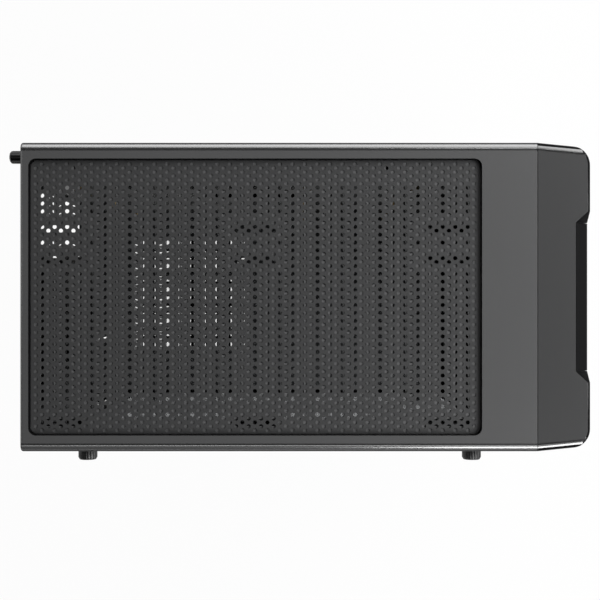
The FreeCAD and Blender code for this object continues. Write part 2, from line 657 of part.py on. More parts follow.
# Front plate: chassis front wall with three fan openings, fan screw holes and clip holes.
front_sheet = box("front_sheet", ("x_core_left", "x_core_right"), ("y_seam", "y_inner"),
                  ("z_base", "z_ceiling"))
front_folds = [
    box("front_fold_glass", ("x_core_left + steel_gauge", "x_core_left + 2 * steel_gauge"),
        ("y_seam", "y_inner + 12"), ("z_floor", "z_ceiling")),
]
forward = ("y_seam - 1", "y_inner + 1")
front_cuts = []
for number in (-1, 0, 1):
    level = f"z_mid + {number} * front_fan_step"
    front_cuts.append(rod(f"front_fan_{number + 2}", "y", "front_fan_bore", forward, ("x_mid", level)))
    for across in ("-", "+"):
        for up in ("-", "+"):
            front_cuts.append(rod(f"front_screw_{len(front_cuts)}", "y", "fan_hole", forward,
                                  (f"x_mid {across} fan_span / 2", f"{level} {up} fan_span / 2")))
clip_places = [
    (f"x_mid {across} clip_span", f"z_mid {up} * front_fan_step")
    for across in ("-", "+")
    for up in ("- 1.5", "- 0.5", "+ 0.5", "+ 1.5")
]
for number, place in enumerate(clip_places, 1):
    front_cuts.append(rod(f"clip_hole_{number}", "y", "clip_radius + slip_gap", forward, place))
keep(cut("front_plate", fuse("front_folded", [front_sheet] + front_folds), front_cuts))

# Power supply shroud: folded cover over the lower bay, vented above the supply.
shroud_top = box("shroud_top", ("x_shroud", "x_tray"), ("y_shroud", "y_wall"),
                 ("z_shroud - steel_gauge", "z_shroud"))
shroud_side = box("shroud_side", ("x_shroud", "x_shroud + steel_gauge"), ("y_shroud", "y_wall"),
                  ("z_floor", "z_shroud"))
shroud_vents = []
for column in range(10):
    for row in range(6):
        near = f"y_intake - 12 - {column} * intake_pitch"
        side = f"x_intake - 4 - {row} * 17"
        shroud_vents.append(box(f"shroud_vent_{column}_{row}", (f"{side} - 14", side), (f"{near} - 7", near),
                                ("z_shroud - 2", "z_shroud + 1")))
keep(cut("psu_shroud", fuse("shroud_folded", [shroud_top, shroud_side]), shroud_vents))

# Drive cage: folded channel for two drives, riveted to the base pan.
cage_low = "x_tray - cage_inset - cage_width"
cage_high = "x_tray - cage_inset"
cage_top = "z_floor + cage_height"
cage_along = ("y_shroud + cage_front", "y_shroud + cage_front + cage_length")
cage_lip = (f"{cage_top} - steel_gauge", cage_top)
cage_shelf = ("z_floor + cage_step", "z_floor + cage_step + steel_gauge")
cage_inward = {
    "steel": (f"{cage_high} - cage_ledge", cage_high),
    "glass": (cage_low, f"{cage_low} + cage_ledge"),
}
cage_walls = [
    box("cage_floor", (cage_low, cage_high), cage_along, ("z_floor", "z_floor + steel_gauge")),
    box("cage_steel_side", (f"{cage_high} - steel_gauge", cage_high), cage_along, ("z_floor", cage_top)),
    box("cage_glass_side", (cage_low, f"{cage_low} + steel_gauge"), cage_along, ("z_floor", cage_top)),
]
for name, across in cage_inward.items():
    cage_walls.append(box(f"cage_{name}_lip", across, cage_along, cage_lip))
    cage_walls.append(box(f"cage_{name}_ledge", across, cage_along, cage_shelf))
cage_holes = [
    rod(f"cage_hole_{row}_{step}", "x", "drive_hole", (f"{cage_low} - 5", f"{cage_high} + 5"),
        (f"y_shroud + cage_front + 20 + {step} * cage_length / 3", f"z_floor + {level}"))
    for row, level in (("low", "10"), ("high", "cage_step + 10"))
    for step in range(3)
]
keep(cut("drive_cage", fuse("cage_folded", cage_walls), cage_holes))

# Drive brackets: hat-shaped plates on the back of the tray.
for name in ("upper", "lower"):
    level = f"z_shroud + bracket_{name}"
    near = "y_rear - bracket_rear - bracket_length"
    far = "y_rear - bracket_rear"
    back = "x_tray + steel_gauge"
    front = f"{back} + bracket_lift + steel_gauge"
    tall = (f"{level} - bracket_half", f"{level} + bracket_half")
    walls = [
        box(f"bracket_face_{name}", (f"{back} + bracket_lift", front), (near, far), tall),
        box(f"bracket_leg_front_{name}", (back, front), (near, f"{near} + steel_gauge"), tall),
        box(f"bracket_leg_rear_{name}", (back, front), (f"{far} - steel_gauge", far), tall),
    ]
    holes = [
        rod(f"bracket_hole_{name}", "x", "bracket_hole", (f"{back} + bracket_lift - 2", f"{front} + 2"),
            (f"{far} - bracket_length / 2 {step} bracket_hole_along", f"{level} {side} bracket_hole_up"))
        for step in ("-", "+")
        for side in ("-", "+")
    ]
    keep(cut(f"ssd_bracket_{name}", fuse(f"bracket_folded_{name}", walls), holes))

# Slot shelf: folded strip outside the rear wall that the slot covers screw to.
slot_span = ("z_slot_low", "z_slot_top")
shelf_walls = [
    box("shelf_leaf", ("x_shelf", "x_shelf + steel_gauge"), ("y_back", "y_back + shelf_depth"), slot_span),
    box("shelf_foot", ("x_shelf", "x_shelf + 4.5"), ("y_back", "y_back + steel_gauge"), slot_span),
]
slot_levels = [f"z_port_low - slot_first - {number} * slot_pitch" for number in range(slot_count)]
screw_depth = "y_back + shelf_depth / 2 + 0.5"
shelf_holes = [
    rod(f"shelf_hole_{number}", "x", "1.9", ("x_shelf - 1", "x_shelf + 2"), (screw_depth, level))
    for number, level in enumerate(slot_levels, 1)
]
keep(cut("slot_shelf", fuse("shelf_folded", shelf_walls), shelf_holes))

# Slot covers: vented plates behind the slot openings, each with a tab bent out over the shelf.
screws = []
for number, level in enumerate(slot_levels, 1):
    span = (f"{level} - slot_cover_width / 2", f"{level} + slot_cover_width / 2")
    walls = [
        box(f"cover_plate_{number}", ("x_shelf - steel_gauge", "x_slot + 4"),
            ("y_wall - steel_gauge", "y_wall"), span),
        box(f"cover_tab_{number}", ("x_shelf - steel_gauge", "x_shelf"),
            ("y_wall - steel_gauge", "y_back + shelf_depth - 0.5"), span),
    ]
    vents = [
        box(f"cover_vent_{number}_{row}_{column}",
            (f"x_slot - 6 - {column} * 16 - 13", f"x_slot - 6 - {column} * 16"),
            ("y_wall - 2", "y_wall + 1"),
            (f"{level} + {row} * 4 - 1.2", f"{level} + {row} * 4 + 1.2"))
        for row in (-1, 0, 1)
        for column in range(5)
    ]
    vents.append(rod(f"cover_hole_{number}", "x", "1.9", ("x_shelf - 2", "x_shelf + 1"),
                     (screw_depth, level)))
    keep(cut(f"slot_cover_{number}", fuse(f"cover_folded_{number}", walls), vents))
    head = rod(f"slot_screw_head_{number}", "x", "slot_screw_radius",
               ("x_shelf - steel_gauge - slot_screw_height", "x_shelf - steel_gauge"), (screw_depth, level))
    shank = rod(f"slot_screw_shank_{number}", "x", "1.5", ("x_shelf - steel_gauge", "x_shelf + 4"),
                (screw_depth, level))
    screws.append(fuse(f"slot_screw_{number}", [head, shank]))
keep(group("slot_screws", screws))

# Rivets: flat heads on the rear wall where the floor, roof and tray are joined to it.
rivet_places = [
    ("x_core_left + 10", "z_base + 9"),
    ("x_core_right - 14", "z_base + 9"),
    ("x_core_left + 12", "z_ceiling - 5"),
    ("x_mid + 10", "z_ceiling - 5"),
    ("x_core_right - 14", "z_ceiling - 5"),
    ("x_core_left + 10", "z_shroud + 8"),
    ("x_core_right - 14", "z_shroud + 8"),
]
rivets = [
    cone(f"rivet_{number}", "y", ("2.6", "1.6"), ("y_back", "y_back + 1"), place)
    for number, place in enumerate(rivet_places, 1)
]
keep(group("chassis_rivets", rivets))

# Rivet nuts: threaded posts in the glass side rails that the glass screws turn into.
glass_screw_places = [
    (along, up)
    for along in ("y_seam + knob_inset_depth", "y_rear - knob_inset_depth")
    for up in ("z_knob_low", "z_knob_top")
]
nuts = []
for number, place in enumerate(glass_screw_places, 1):
    barrel = rod(f"nut_barrel_{number}", "x", "nut_radius - 0.1",
                 ("x_core_left", "x_core_left + nut_length"), place)
    collar = rod(f"nut_collar_{number}", "x", "nut_radius + 1.5",
                 ("x_core_left + steel_gauge", "x_core_left + 2 * steel_gauge"), place)
    thread = rod(f"nut_thread_{number}", "x", "knob_shank + slip_gap",
                 ("x_core_left - 1", "x_core_left + nut_length + 1"), place)
    nuts.append(cut(f"nut_{number}", fuse(f"nut_blank_{number}", [barrel, collar]), [thread]))
keep(group("glass_nuts", nuts))


def turned(label, profile, turn, place):
    """A turned body: a closed outline of (radius, distance along Y) revolved round the Y axis."""
    body = doc.addObject("PartDesign::Body", label)
    sketch = body.newObject("Sketcher::SketchObject", label + "_profile")
    flat = next(plane for plane in body.Origin.OriginFeatures if plane.Role == "XY_Plane")
    sketch.AttachmentSupport = [(flat, "")]
    sketch.MapMode = "FlatFace"
    outline(sketch, profile)
    lathe = body.newObject("PartDesign::Revolution", label + "_lathe")
    lathe.Profile = sketch
    lathe.ReferenceAxis = (sketch, ["V_Axis"])
    lathe.Angle = 360
    body.Placement = Placement(Vector(), turn)
    for axis, text in zip("xyz", place):
        bind(body, {f"Placement.Base.{axis}": text})
    return body


def outline(sketch, points):
    """Draw a closed outline of straight lines and tie every corner to its formulas."""
    start = sketch.GeometryCount
    corners = [Vector(measure(across), measure(up), 0) for across, up in points]
    total = len(points)
    for number in range(total):
        sketch.addGeometry(Part.LineSegment(corners[number], corners[(number + 1) % total]), False)
    for number in range(total):
        here = start + number
        after = start + (number + 1) % total
        sketch.addConstraint(Sketcher.Constraint("Coincident", here, 2, after, 1))
    for number, (across, up) in enumerate(points):
        for kind, text, axis in (("DistanceX", across, -2), ("DistanceY", up, -1)):
            if text == "0":
                sketch.addConstraint(Sketcher.Constraint("PointOnObject", start + number, 1, axis))
                continue
            where = sketch.addConstraint(Sketcher.Constraint(kind, -1, 1, start + number, 1, measure(text)))
            sketch.setExpression(f"Constraints[{where}]", formula(text))


def sketch_on(body, role, name, offset):
    """A sketch on a plane of the body, moved along the plane's normal."""
    sketch = body.newObject("Sketcher::SketchObject", name)
    flat = next(plane for plane in body.Origin.OriginFeatures if plane.Role == role)
    sketch.AttachmentSupport = [(flat, "")]
    sketch.MapMode = "FlatFace"
    sketch.setExpression("AttachmentOffset.Base.z", formula(offset))
    return sketch


def pad(body, sketch, length):
    block = body.newObject("PartDesign::Pad", sketch.Name + "_pad")
    block.Profile = sketch
    block.setExpression("Length", formula(length))
    return block


def soften(body, feature, radius, wanted):
    """Round the edges of a body's last feature that the test picks."""
    doc.recompute()
    names = [f"Edge{number}" for number, edge in enumerate(feature.Shape.Edges, 1) if wanted(edge)]
    rounding = body.newObject("PartDesign::Fillet", body.Name + "_rounding")
    rounding.Base = (feature, names)
    rounding.setExpression("Radius", formula(radius))
    return rounding


def rectangle(across, up):
    """The four corners of an upright rectangle."""
    low, high = across
    near, far = up
    return [(low, near), (high, near), (high, far), (low, far)]


# Feet: moulded feet under the base pan with a rubber pad each.
upward = Rotation(Vector(1, 0, 0), 90)
foot_places = [
    (across, along)
    for across in ("x_left + foot_inset_width", "x_right - foot_inset_width")
    for along in ("y_seam + foot_inset_depth", "y_rear - foot_inset_depth")
]
feet = []
pads = []
for number, (across, along) in enumerate(foot_places, 1):
    shape = [("0", "0"), ("pad_radius + 1", "0"), ("pad_radius + 2", "1.5"), ("foot_radius", "foot_height"),
             ("0", "foot_height")]
    feet.append(turned(f"foot_{number}", shape, upward, (across, along, "pad_height")))
    shape = [("0", "0"), ("pad_radius - 0.8", "0"), ("pad_radius", "0.8"), ("pad_radius", "pad_height"),
             ("0", "pad_height")]
    pads.append(turned(f"foot_pad_{number}", shape, upward, (across, along, "0")))
keep(group("feet", feet))
keep(group("foot_pads", pads))

# Power supply pads: foam strips on the base pan either side of the intake.
foam = [
    box(f"foam_{name}", across, ("y_wall - 140", "y_wall - 12"), ("z_floor", "z_floor + psu_pad_thick"))
    for name, across in (("steel", ("x_intake + 2", "x_intake + 12")),
                         ("glass", ("x_intake - intake_rows * intake_pitch - 8",
                                     "x_intake - intake_rows * intake_pitch + 1")))
]
keep(group("psu_pads", foam))

# Sliding filter under the intake: two rails on the base pan, a frame and its mesh.
filter_across = ("x_intake - intake_rows * intake_pitch - 2", "x_intake + 5")
filter_along = ("y_intake - 11 * intake_pitch - 6", "y_rear - 2")
z_slide = "z_base - slip_gap"
low, high = filter_across
rails = []
for name, wall, shelf in (
    ("glass", (f"{low} - slip_gap - rail_wall", f"{low} - slip_gap"),
     (f"{low} - slip_gap - rail_wall", f"{low} + 3")),
    ("steel", (f"{high} + slip_gap", f"{high} + slip_gap + rail_wall"),
     (f"{high} - 3", f"{high} + slip_gap + rail_wall")),
):
    lower = f"{z_slide} - tray_filter_thick - slip_gap"
    rails.append(fuse(f"filter_rail_{name}", [
        box(f"rail_wall_{name}", wall, filter_along, (f"{lower} - rail_wall", "z_base")),
        box(f"rail_shelf_{name}", shelf, filter_along, (f"{lower} - rail_wall", lower)),
    ]))
keep(group("filter_rails", rails))
filter_up = (f"{z_slide} - tray_filter_thick", z_slide)
frame_block = box("tray_filter_block", filter_across, filter_along, filter_up)
intake_middle = "x_intake - intake_rows / 2 * intake_pitch"
frame_pull = box("tray_filter_pull", (f"{intake_middle} - 22", f"{intake_middle} + 22"),
                 ("y_rear - 3", "y_rear + 5"), (f"{z_slide} - tray_filter_thick - 3", z_slide))
near, far = filter_along
frame_hole = box("tray_filter_hole", (f"{low} + tray_filter_rim", f"{high} - tray_filter_rim"),
                 (f"{near} + tray_filter_rim", f"{far} - tray_filter_rim"),
                 (f"{z_slide} - tray_filter_thick - 1", f"{z_slide} + 1"))
frame_ring = cut("tray_filter_ring", frame_block, [frame_hole])
bars = [
    box("tray_filter_bar_depth", (f"{intake_middle} - 1.5", f"{intake_middle} + 1.5"),
        (f"{near} + 2", f"{far} - 2"), (f"{z_slide} - tray_filter_thick", f"{z_slide} - 1.4")),
    box("tray_filter_bar_width", (f"{low} + 2", f"{high} - 2"),
        ("y_intake - 5.5 * intake_pitch - 1.5", "y_intake - 5.5 * intake_pitch + 1.5"),
        (f"{z_slide} - tray_filter_thick", f"{z_slide} - 1.4")),
]
keep(fuse("psu_filter_frame", [frame_ring, frame_pull] + bars))
mesh_sheet = box("tray_mesh_sheet", (f"{low} + tray_filter_rim", f"{high} - tray_filter_rim"),
                 (f"{near} + tray_filter_rim", f"{far} - tray_filter_rim"),
                 (f"{z_slide} - 1.4", f"{z_slide} - 1"))
keep(mesh_sheet)
mesh_sheet.Label = "psu_filter_mesh"

# Rear fan: square frame with a round duct, motor plate on four struts, bearing tube and screws.
fan_along = ("y_fan", "y_wall")
fan_across = ("x_fan - fan_size / 2", "x_fan + fan_size / 2")
fan_up = ("z_fan - fan_size / 2", "z_fan + fan_size / 2")
fan_axis = ("x_fan", "z_fan")
duct = rod("fan_duct", "y", "fan_bore + 1.8", fan_along, fan_axis)
fan_plates = [
    box("fan_plate_inner", fan_across, ("y_fan", "y_fan + fan_flange"), fan_up),
    box("fan_plate_outer", fan_across, ("y_wall - fan_flange", "y_wall"), fan_up),
]
fan_plates = [
    round_edges(plate.Name + "_round", plate, "6", lambda edge: runs_along(edge, "y"))
    for plate in fan_plates
]
fan_ends = (("y_fan", "y_fan + fan_flange"), ("y_wall - fan_flange", "y_wall"))
fan_holes = [rod("fan_opening", "y", "fan_bore", ("y_fan - 1", "y_wall + 1"), fan_axis)]
fan_corners = [
    (f"x_fan {across} fan_span / 2", f"z_fan {up} fan_span / 2")
    for across in ("-", "+")
    for up in ("-", "+")
]
for number, place in enumerate(fan_corners, 1):
    fan_holes.append(rod(f"fan_corner_hole_{number}", "y", "fan_hole", ("y_fan - 1", "y_wall + 1"), place))
    for side, ends in zip(("inner", "outer"), fan_ends):
        fan_plates.append(rod(f"fan_boss_{side}_{number}", "y", "fan_hole + fan_boss", ends, place))
fan_shell = cut("fan_shell", fuse("fan_blank", [duct] + fan_plates), fan_holes)
motor_plate = rod("fan_motor_plate", "y", "fan_hub", ("y_wall - 4", "y_wall - 1"), fan_axis)
struts = [
    box("fan_strut_level", ("x_fan - fan_bore - 1", "x_fan + fan_bore + 1"), ("y_wall - 4", "y_wall - 1"),
        ("z_fan - 1.8", "z_fan + 1.8")),
    box("fan_strut_upright", ("x_fan - 1.8", "x_fan + 1.8"), ("y_wall - 4", "y_wall - 1"),
        ("z_fan - fan_bore - 1", "z_fan + fan_bore + 1")),
]
bearing = rod("fan_bearing", "y", "5", ("y_fan + 6", "y_wall - 3"), fan_axis)
shaft_bore = rod("fan_shaft_bore", "y", "fan_shaft + slip_gap", ("y_fan + 5", "y_wall - 2"), fan_axis)
keep(cut("rear_fan_frame", fuse("fan_body", [fan_shell, motor_plate, bearing] + struts), [shaft_bore]))

fan_screws = []
for number, place in enumerate(fan_corners, 1):
    head = cone(f"fan_screw_head_{number}", "y", ("4", "2.6"), ("y_back", "y_back + 2.4"), place)
    shank = rod(f"fan_screw_shank_{number}", "y", "fan_hole - 0.3", ("y_wall - 9", "y_back"), place)
    fan_screws.append(fuse(f"fan_screw_{number}", [head, shank]))
keep(group("rear_fan_screws", fan_screws))


def blade_section(radius, chord, pitch, camber):
    """A thin curved section square to the radius, at the fan's origin with the axis along Y."""
    angle = math.radians(pitch)
    chordwise = Vector(0, math.sin(angle), math.cos(angle))
    normal = Vector(0, math.cos(angle), -math.sin(angle))
    middle = Vector(radius, 0, 0)
    edges = []
    for thick in (0.8, -0.8):
        points = [middle + chordwise * (chord * step) + normal * (thick + camber * (1 - 4 * step * step))
                  for step in (-0.5, 0, 0.5)]
        edges.append(Part.Arc(*points).toShape())
    first, second = edges
    ends = [
        Part.LineSegment(first.Vertexes[side].Point, second.Vertexes[side].Point).toShape()
        for side in (0, 1)
    ]
    return Part.Wire(Part.__sortEdges__([first, second] + ends))


root = blade_section(measure("fan_hub - 0.8"), 21, 50, 2.2)
tip = blade_section(measure("fan_tip + 3"), 38, 25, 3)
loft = Part.makeLoft([root, tip], True, True)
reach = Part.makeCylinder(measure("fan_tip"), 60, Vector(0, -30, 0), Vector(0, 1, 0))
blade_shape = loft.common(reach)
blades = []
for number in range(7):
    blade = doc.addObject("Part::Feature", f"fan_blade_{number + 1}")
    blade.Shape = blade_shape
    blade.Placement = Placement(Vector(), Rotation(Vector(0, 1, 0), 360 / 7 * number))
    bind(blade, {
        "Placement.Base.x": "x_fan",
        "Placement.Base.y": "(y_fan + y_wall) / 2 - 2",
        "Placement.Base.z": "z_fan",
    })
    blades.append(blade)
hub = rod("rotor_hub", "y", "fan_hub", ("y_fan + 1", "y_wall - 5"), fan_axis)
hub = round_edges("rotor_hub_round", hub, "1.5", lambda edge: edge.CenterOfMass.y < measure("y_fan + 2"))
hollow = rod("rotor_hollow", "y", "fan_hub - 1.8", ("y_fan + 3", "y_wall"), fan_axis)
cup = cut("rotor_cup", hub, [hollow])
shaft = rod("rotor_shaft", "y", "fan_shaft", ("y_fan + 2", "y_wall - 6"), fan_axis)
keep(fuse("rear_fan_rotor", [cup, shaft] + blades))

# Top cover: moulded lid over the roof with rounded shoulders, a groove inside each and the filter opening.
cover_along = ("y_seam + fit_gap", "y_rear")
cover_block = box("cover_block", ("x_left", "x_right"), cover_along, ("z_skirt", "z_top"))
cover_round = round_edges("cover_shoulders", cover_block, "shoulder_width", lambda edge: (
    runs_along(edge, "y") and edge.CenterOfMass.z > measure("z_top - 0.1")))
cover_round = round_edges("cover_corners", cover_round, "cover_corner", lambda edge: (
    runs_along(edge, "z") and edge.CenterOfMass.y > measure("y_rear - 0.1")))
near, far = cover_along
cover_cuts = [
    box("cover_cavity_low", ("x_left + cover_skin", "x_right - cover_skin"), (f"{near} - 1", f"{far} + 1"),
        ("z_skirt - 1", "z_roof")),
    box("cover_cavity_high", ("x_left + cover_skin", "x_right - cover_skin"),
        (f"{near} - 1", f"{far} - cover_skin"), ("z_roof", "z_top - cover_skin")),
]
grooves = {
    "glass": ("x_left + shoulder_width", "x_left + shoulder_width + groove_width"),
    "steel": ("x_right - shoulder_width - groove_width", "x_right - shoulder_width"),
}
for name, across in grooves.items():
    cover_cuts.append(box(f"cover_groove_{name}", across, (f"{near} - 1", f"{far} + 1"),
                          ("z_top - groove_depth", "z_top + 1")))
cover_shell = cut("cover_shell", cover_round, [fuse("cover_hollows", cover_cuts)])


def window_block(label, grow, corner, up):
    """The filter opening as a block with rounded corners, larger all round by a step."""
    block = box(label + "_block",
                (f"x_mid - window_width / 2 - {grow}", f"x_mid + window_width / 2 + {grow}"),
                (f"y_window - window_length / 2 - {grow}", f"y_window + window_length / 2 + {grow}"), up)
    return round_edges(label, block, corner, lambda edge: runs_along(edge, "z"))


rim = window_block("cover_rim", "rim_wall", "window_corner + rim_wall",
                   ("z_roof", "z_top - cover_skin + opening_edge"))
opening = window_block("cover_opening", "0", "window_corner", ("z_roof - 1", "z_top + 1"))
cover_open = cut("cover_open", fuse("cover_rimmed", [cover_shell, rim]), [opening])
doc.recompute()


def on_opening_edge(edge):
    """True for the top edges of the filter opening."""
    middle = edge.CenterOfMass
    inside = abs(middle.x - measure("x_mid")) < measure("window_width / 2 + 0.1")
    along = abs(middle.y - measure("y_window")) < measure("window_length / 2 + 0.1")
    return inside and along and edge.BoundBox.ZMin > measure("z_top - 0.01")


keep(round_edges("top_cover", cover_open, "opening_edge", on_opening_edge))

# Top filter: magnetic sheet lying on the roof inside the opening, with rows of slots.
filter_body = doc.addObject("PartDesign::Body", "top_filter")
filter_sketch = sketch_on(filter_body, "XY_Plane", "filter_outline", "z_roof")
outline(filter_sketch, rectangle(
    ("x_mid - window_width / 2 + filter_gap", "x_mid + window_width / 2 - filter_gap"),
    ("y_window - window_length / 2 + filter_gap", "y_window + window_length / 2 - filter_gap")))
filter_sheet = pad(filter_body, filter_sketch, "filter_thick")
filter_round = soften(filter_body, filter_sheet, "window_corner - filter_gap",
                      lambda edge: runs_along(edge, "z"))
slot_sketch = sketch_on(filter_body, "XY_Plane", "filter_slots", "z_roof")
for step in (-1, 0, 1):
    outline(slot_sketch, rectangle(
        (f"x_mid + {step} * filter_slot_step - filter_slot_length / 2",
         f"x_mid + {step} * filter_slot_step + filter_slot_length / 2"),
        ("y_window - 17 * filter_pitch - filter_slot / 2",
         "y_window - 17 * filter_pitch + filter_slot / 2")))
slot_pocket = filter_body.newObject("PartDesign::Pocket", "filter_slot_row")
slot_pocket.Profile = slot_sketch
slot_pocket.Type = "ThroughAll"
slot_pocket.Midplane = True
slot_rows = filter_body.newObject("PartDesign::LinearPattern", "filter_slot_rows")
slot_rows.Originals = [slot_pocket]
slot_rows.Direction = (slot_sketch, ["V_Axis"])
slot_rows.Occurrences = 35
slot_rows.setExpression("Length", formula("34 * filter_pitch"))
filter_body.Tip = slot_rows
keep(filter_body)

# Glass side: one sheet held by four screws through rubber rings.
glass_body = doc.addObject("PartDesign::Body", "glass_panel")
glass_sketch = sketch_on(glass_body, "YZ_Plane", "glass_outline", "x_left")
outline(glass_sketch, rectangle(("y_seam + fit_gap", "y_rear"), ("z_base + fit_gap", "z_skirt - fit_gap")))
glass_sheet = pad(glass_body, glass_sketch, "glass_thick")
glass_round = soften(glass_body, glass_sheet, "glass_corner", lambda edge: runs_along(edge, "x"))
bore_sketch = sketch_on(glass_body, "YZ_Plane", "glass_bores", "x_left")
for number, (along, up) in enumerate(glass_screw_places):
    middle = Vector(measure(along), measure(up), 0)
    bore_sketch.addGeometry(Part.Circle(middle, Vector(0, 0, 1), measure("glass_bore")), False)
    for kind, text in (("DistanceX", along), ("DistanceY", up)):
        where = bore_sketch.addConstraint(Sketcher.Constraint(kind, -1, 1, number, 3, measure(text)))
        bore_sketch.setExpression(f"Constraints[{where}]", formula(text))
    where = bore_sketch.addConstraint(Sketcher.Constraint("Radius", number, measure("glass_bore")))
    bore_sketch.setExpression(f"Constraints[{where}]", formula("glass_bore"))
glass_bores = glass_body.newObject("PartDesign::Pocket", "glass_bore_cuts")
glass_bores.Profile = bore_sketch
glass_bores.Type = "ThroughAll"
glass_bores.Midplane = True
keep(glass_body)

outward = Rotation(Vector(0, 0, 1), 90)
knobs = []
washers = []
for number, (along, up) in enumerate(glass_screw_places, 1):
    shape = [
        ("0", "-glass_thick - glass_standoff - nut_length + 1"),
        ("knob_shank", "-glass_thick - glass_standoff - nut_length + 1"),
        ("knob_shank", "0"),
        ("knob_radius - 0.4", "0"),
        ("knob_radius", "0.4"),
        ("knob_radius", "knob_height - 1.2"),
        ("knob_radius - 1.2", "knob_height"),
        ("0", "knob_height"),
    ]
    knobs.append(turned(f"glass_screw_{number}", shape, outward, ("x_left", along, up)))
    ring = rod(f"washer_ring_{number}", "x", "washer_radius", ("x_left + glass_thick", "x_core_left"),
               (along, up))
    hole = rod(f"washer_hole_{number}", "x", "knob_shank + slip_gap", ("x_left", "x_core_left + 1"),
               (along, up))
    washers.append(cut(f"washer_{number}", ring, [hole]))
keep(group("glass_screws", knobs))
keep(group("glass_washers", washers))

# Steel side: sheet with folded top and bottom rims and a rear fold that two thumb screws hold.
side_along = ("y_seam + fit_gap", "y_rear")
side_up = ("z_base + fit_gap", "z_skirt - fit_gap")
near, far = side_along
low, high = side_up
side_walls = [
    box("side_sheet", ("x_right - steel_gauge", "x_right"), side_along, side_up),
    box("side_rim_top", ("x_right - panel_fold", "x_right"), side_along, (f"{high} - steel_gauge", high)),
    box("side_rim_low", ("x_right - panel_fold", "x_right"), side_along, (low, f"{low} + steel_gauge")),
    box("side_ear", ("x_right - panel_ear", "x_right"), ("y_back", "y_rear"), side_up),
]
side_holes = [
    rod(f"side_hole_{name}", "y", "thumb_shank + slip_gap", ("y_back - 1", "y_rear + 1"), ("x_thumb", level))
    for name, level in (("top", "z_thumb_top"), ("low", "z_thumb_low"))
]
side_folded = round_edges("side_bends", fuse("side_blank", side_walls), "steel_gauge - 0.1", lambda edge: (
    runs_along(edge, "y") and edge.CenterOfMass.x > measure("x_right - 0.01")) or (
    runs_along(edge, "z") and edge.CenterOfMass.x > measure("x_right - 0.01")
    and edge.CenterOfMass.y > measure("y_rear - 0.01")))
keep(cut("side_panel", side_folded, side_holes))
thumbs = []
for name, level in (("top", "z_thumb_top"), ("low", "z_thumb_low")):
    shape = [
        ("0", "-8"),
        ("thumb_shank", "-8"),
        ("thumb_shank", "0"),
        ("thumb_radius - 0.6", "0"),
        ("thumb_radius - 0.6", "1.5"),
        ("thumb_radius", "2.1"),
        ("thumb_radius", "thumb_head - 0.9"),
        ("thumb_radius - 0.9", "thumb_head"),
        ("0", "thumb_head"),
    ]
    thumbs.append(turned(f"side_screw_{name}", shape, Rotation(), ("x_thumb", "y_rear", level)))
keep(group("side_screws", thumbs))

# Front bezel: moulded shell with tapered flanks, round corners, a channel down the middle,
# a notch in its top edge and pockets for the controls.
bezel_block = doc.addObject("Part::Wedge", "bezel_block")
bind(bezel_block, {
    "Xmin": "x_left + bezel_taper", "Xmax": "x_right - bezel_taper", "X2min": "x_left", "X2max": "x_right",
    "Ymin": "y_front", "Ymax": "y_seam",
    "Zmin": "bezel_floor", "Z2min": "bezel_floor", "Zmax": "z_top", "Z2max": "z_top",
})
bezel_plan = round_edges("bezel_plan", bezel_block, "bezel_corner",
                         lambda edge: runs_along(edge, "z") and edge.CenterOfMass.y < measure("y_front + 1"))
bezel_soft = round_edges("bezel_soft", bezel_plan, "bezel_edge", lambda edge: (
    edge.BoundBox.ZMin > measure("z_top - 0.01") and edge.CenterOfMass.y < measure("y_seam - 1")))
bezel_shoulders = round_edges("bezel_shoulders", bezel_block, "shoulder_width", lambda edge: (
    edge.BoundBox.ZMin > measure("z_top - 0.01") and edge.BoundBox.YLength > measure("front_depth - 0.1")))
bezel_form = doc.addObject("Part::Common", "bezel_form")
bezel_form.Base = bezel_soft
bezel_form.Tool = bezel_shoulders
channel = doc.addObject("Part::Wedge", "bezel_channel")
bind(channel, {
    "Xmin": "x_mid - 2 * channel_mouth + channel_half", "Xmax": "x_mid + 2 * channel_mouth - channel_half",
    "X2min": "x_mid - channel_half", "X2max": "x_mid + channel_half",
    "Ymin": "y_front - channel_depth", "Ymax": "y_front + channel_depth",
    "Zmin": "bezel_floor - 1", "Z2min": "bezel_floor - 1", "Zmax": "z_top + 1", "Z2max": "z_top + 1",
})
middle_span = ("x_mid - channel_half", "x_mid + channel_half")
bezel_hollows = [
    channel,
    box("bezel_window", middle_span, ("y_front - 1", "y_front + rib_depth + 1"),
        ("z_grille_low", "z_top - bezel_wall")),
    box("bezel_notch", middle_span, ("y_front - 1", "y_front + notch_depth"),
        ("z_top - bezel_wall - 1", "z_top + 1")),
    box("bezel_cavity", ("x_left + bezel_taper + bezel_wall", "x_right - bezel_taper - bezel_wall"),
        ("y_front + rib_depth", "y_seam + 1"), ("bezel_floor + bezel_wall", "z_top - bezel_wall")),
]
for name, across in (("glass", ("x_mid - wing_outer", "x_mid - wing_inner")),
                     ("steel", ("x_mid + wing_inner", "x_mid + wing_outer"))):
    bezel_hollows.append(box(f"bezel_pocket_{name}", across,
                             ("y_front + bezel_wall", "y_front + rib_depth + 1"),
                             ("bezel_floor + rib_depth", "z_top - rib_depth")))
for name, lean in (("glass", "+ bezel_taper"), ("steel", "- bezel_taper")):
    low, high = grooves[name]
    groove = doc.addObject("Part::Wedge", f"bezel_groove_{name}")
    bind(groove, {
        "Xmin": f"{low} {lean}", "Xmax": f"{high} {lean}", "X2min": low, "X2max": high,
        "Ymin": "y_front", "Ymax": "y_seam",
        "Zmin": "z_top - groove_depth", "Z2min": "z_top - groove_depth",
        "Zmax": "z_top + 1", "Z2max": "z_top + 1",
    })
    bezel_hollows.append(groove)


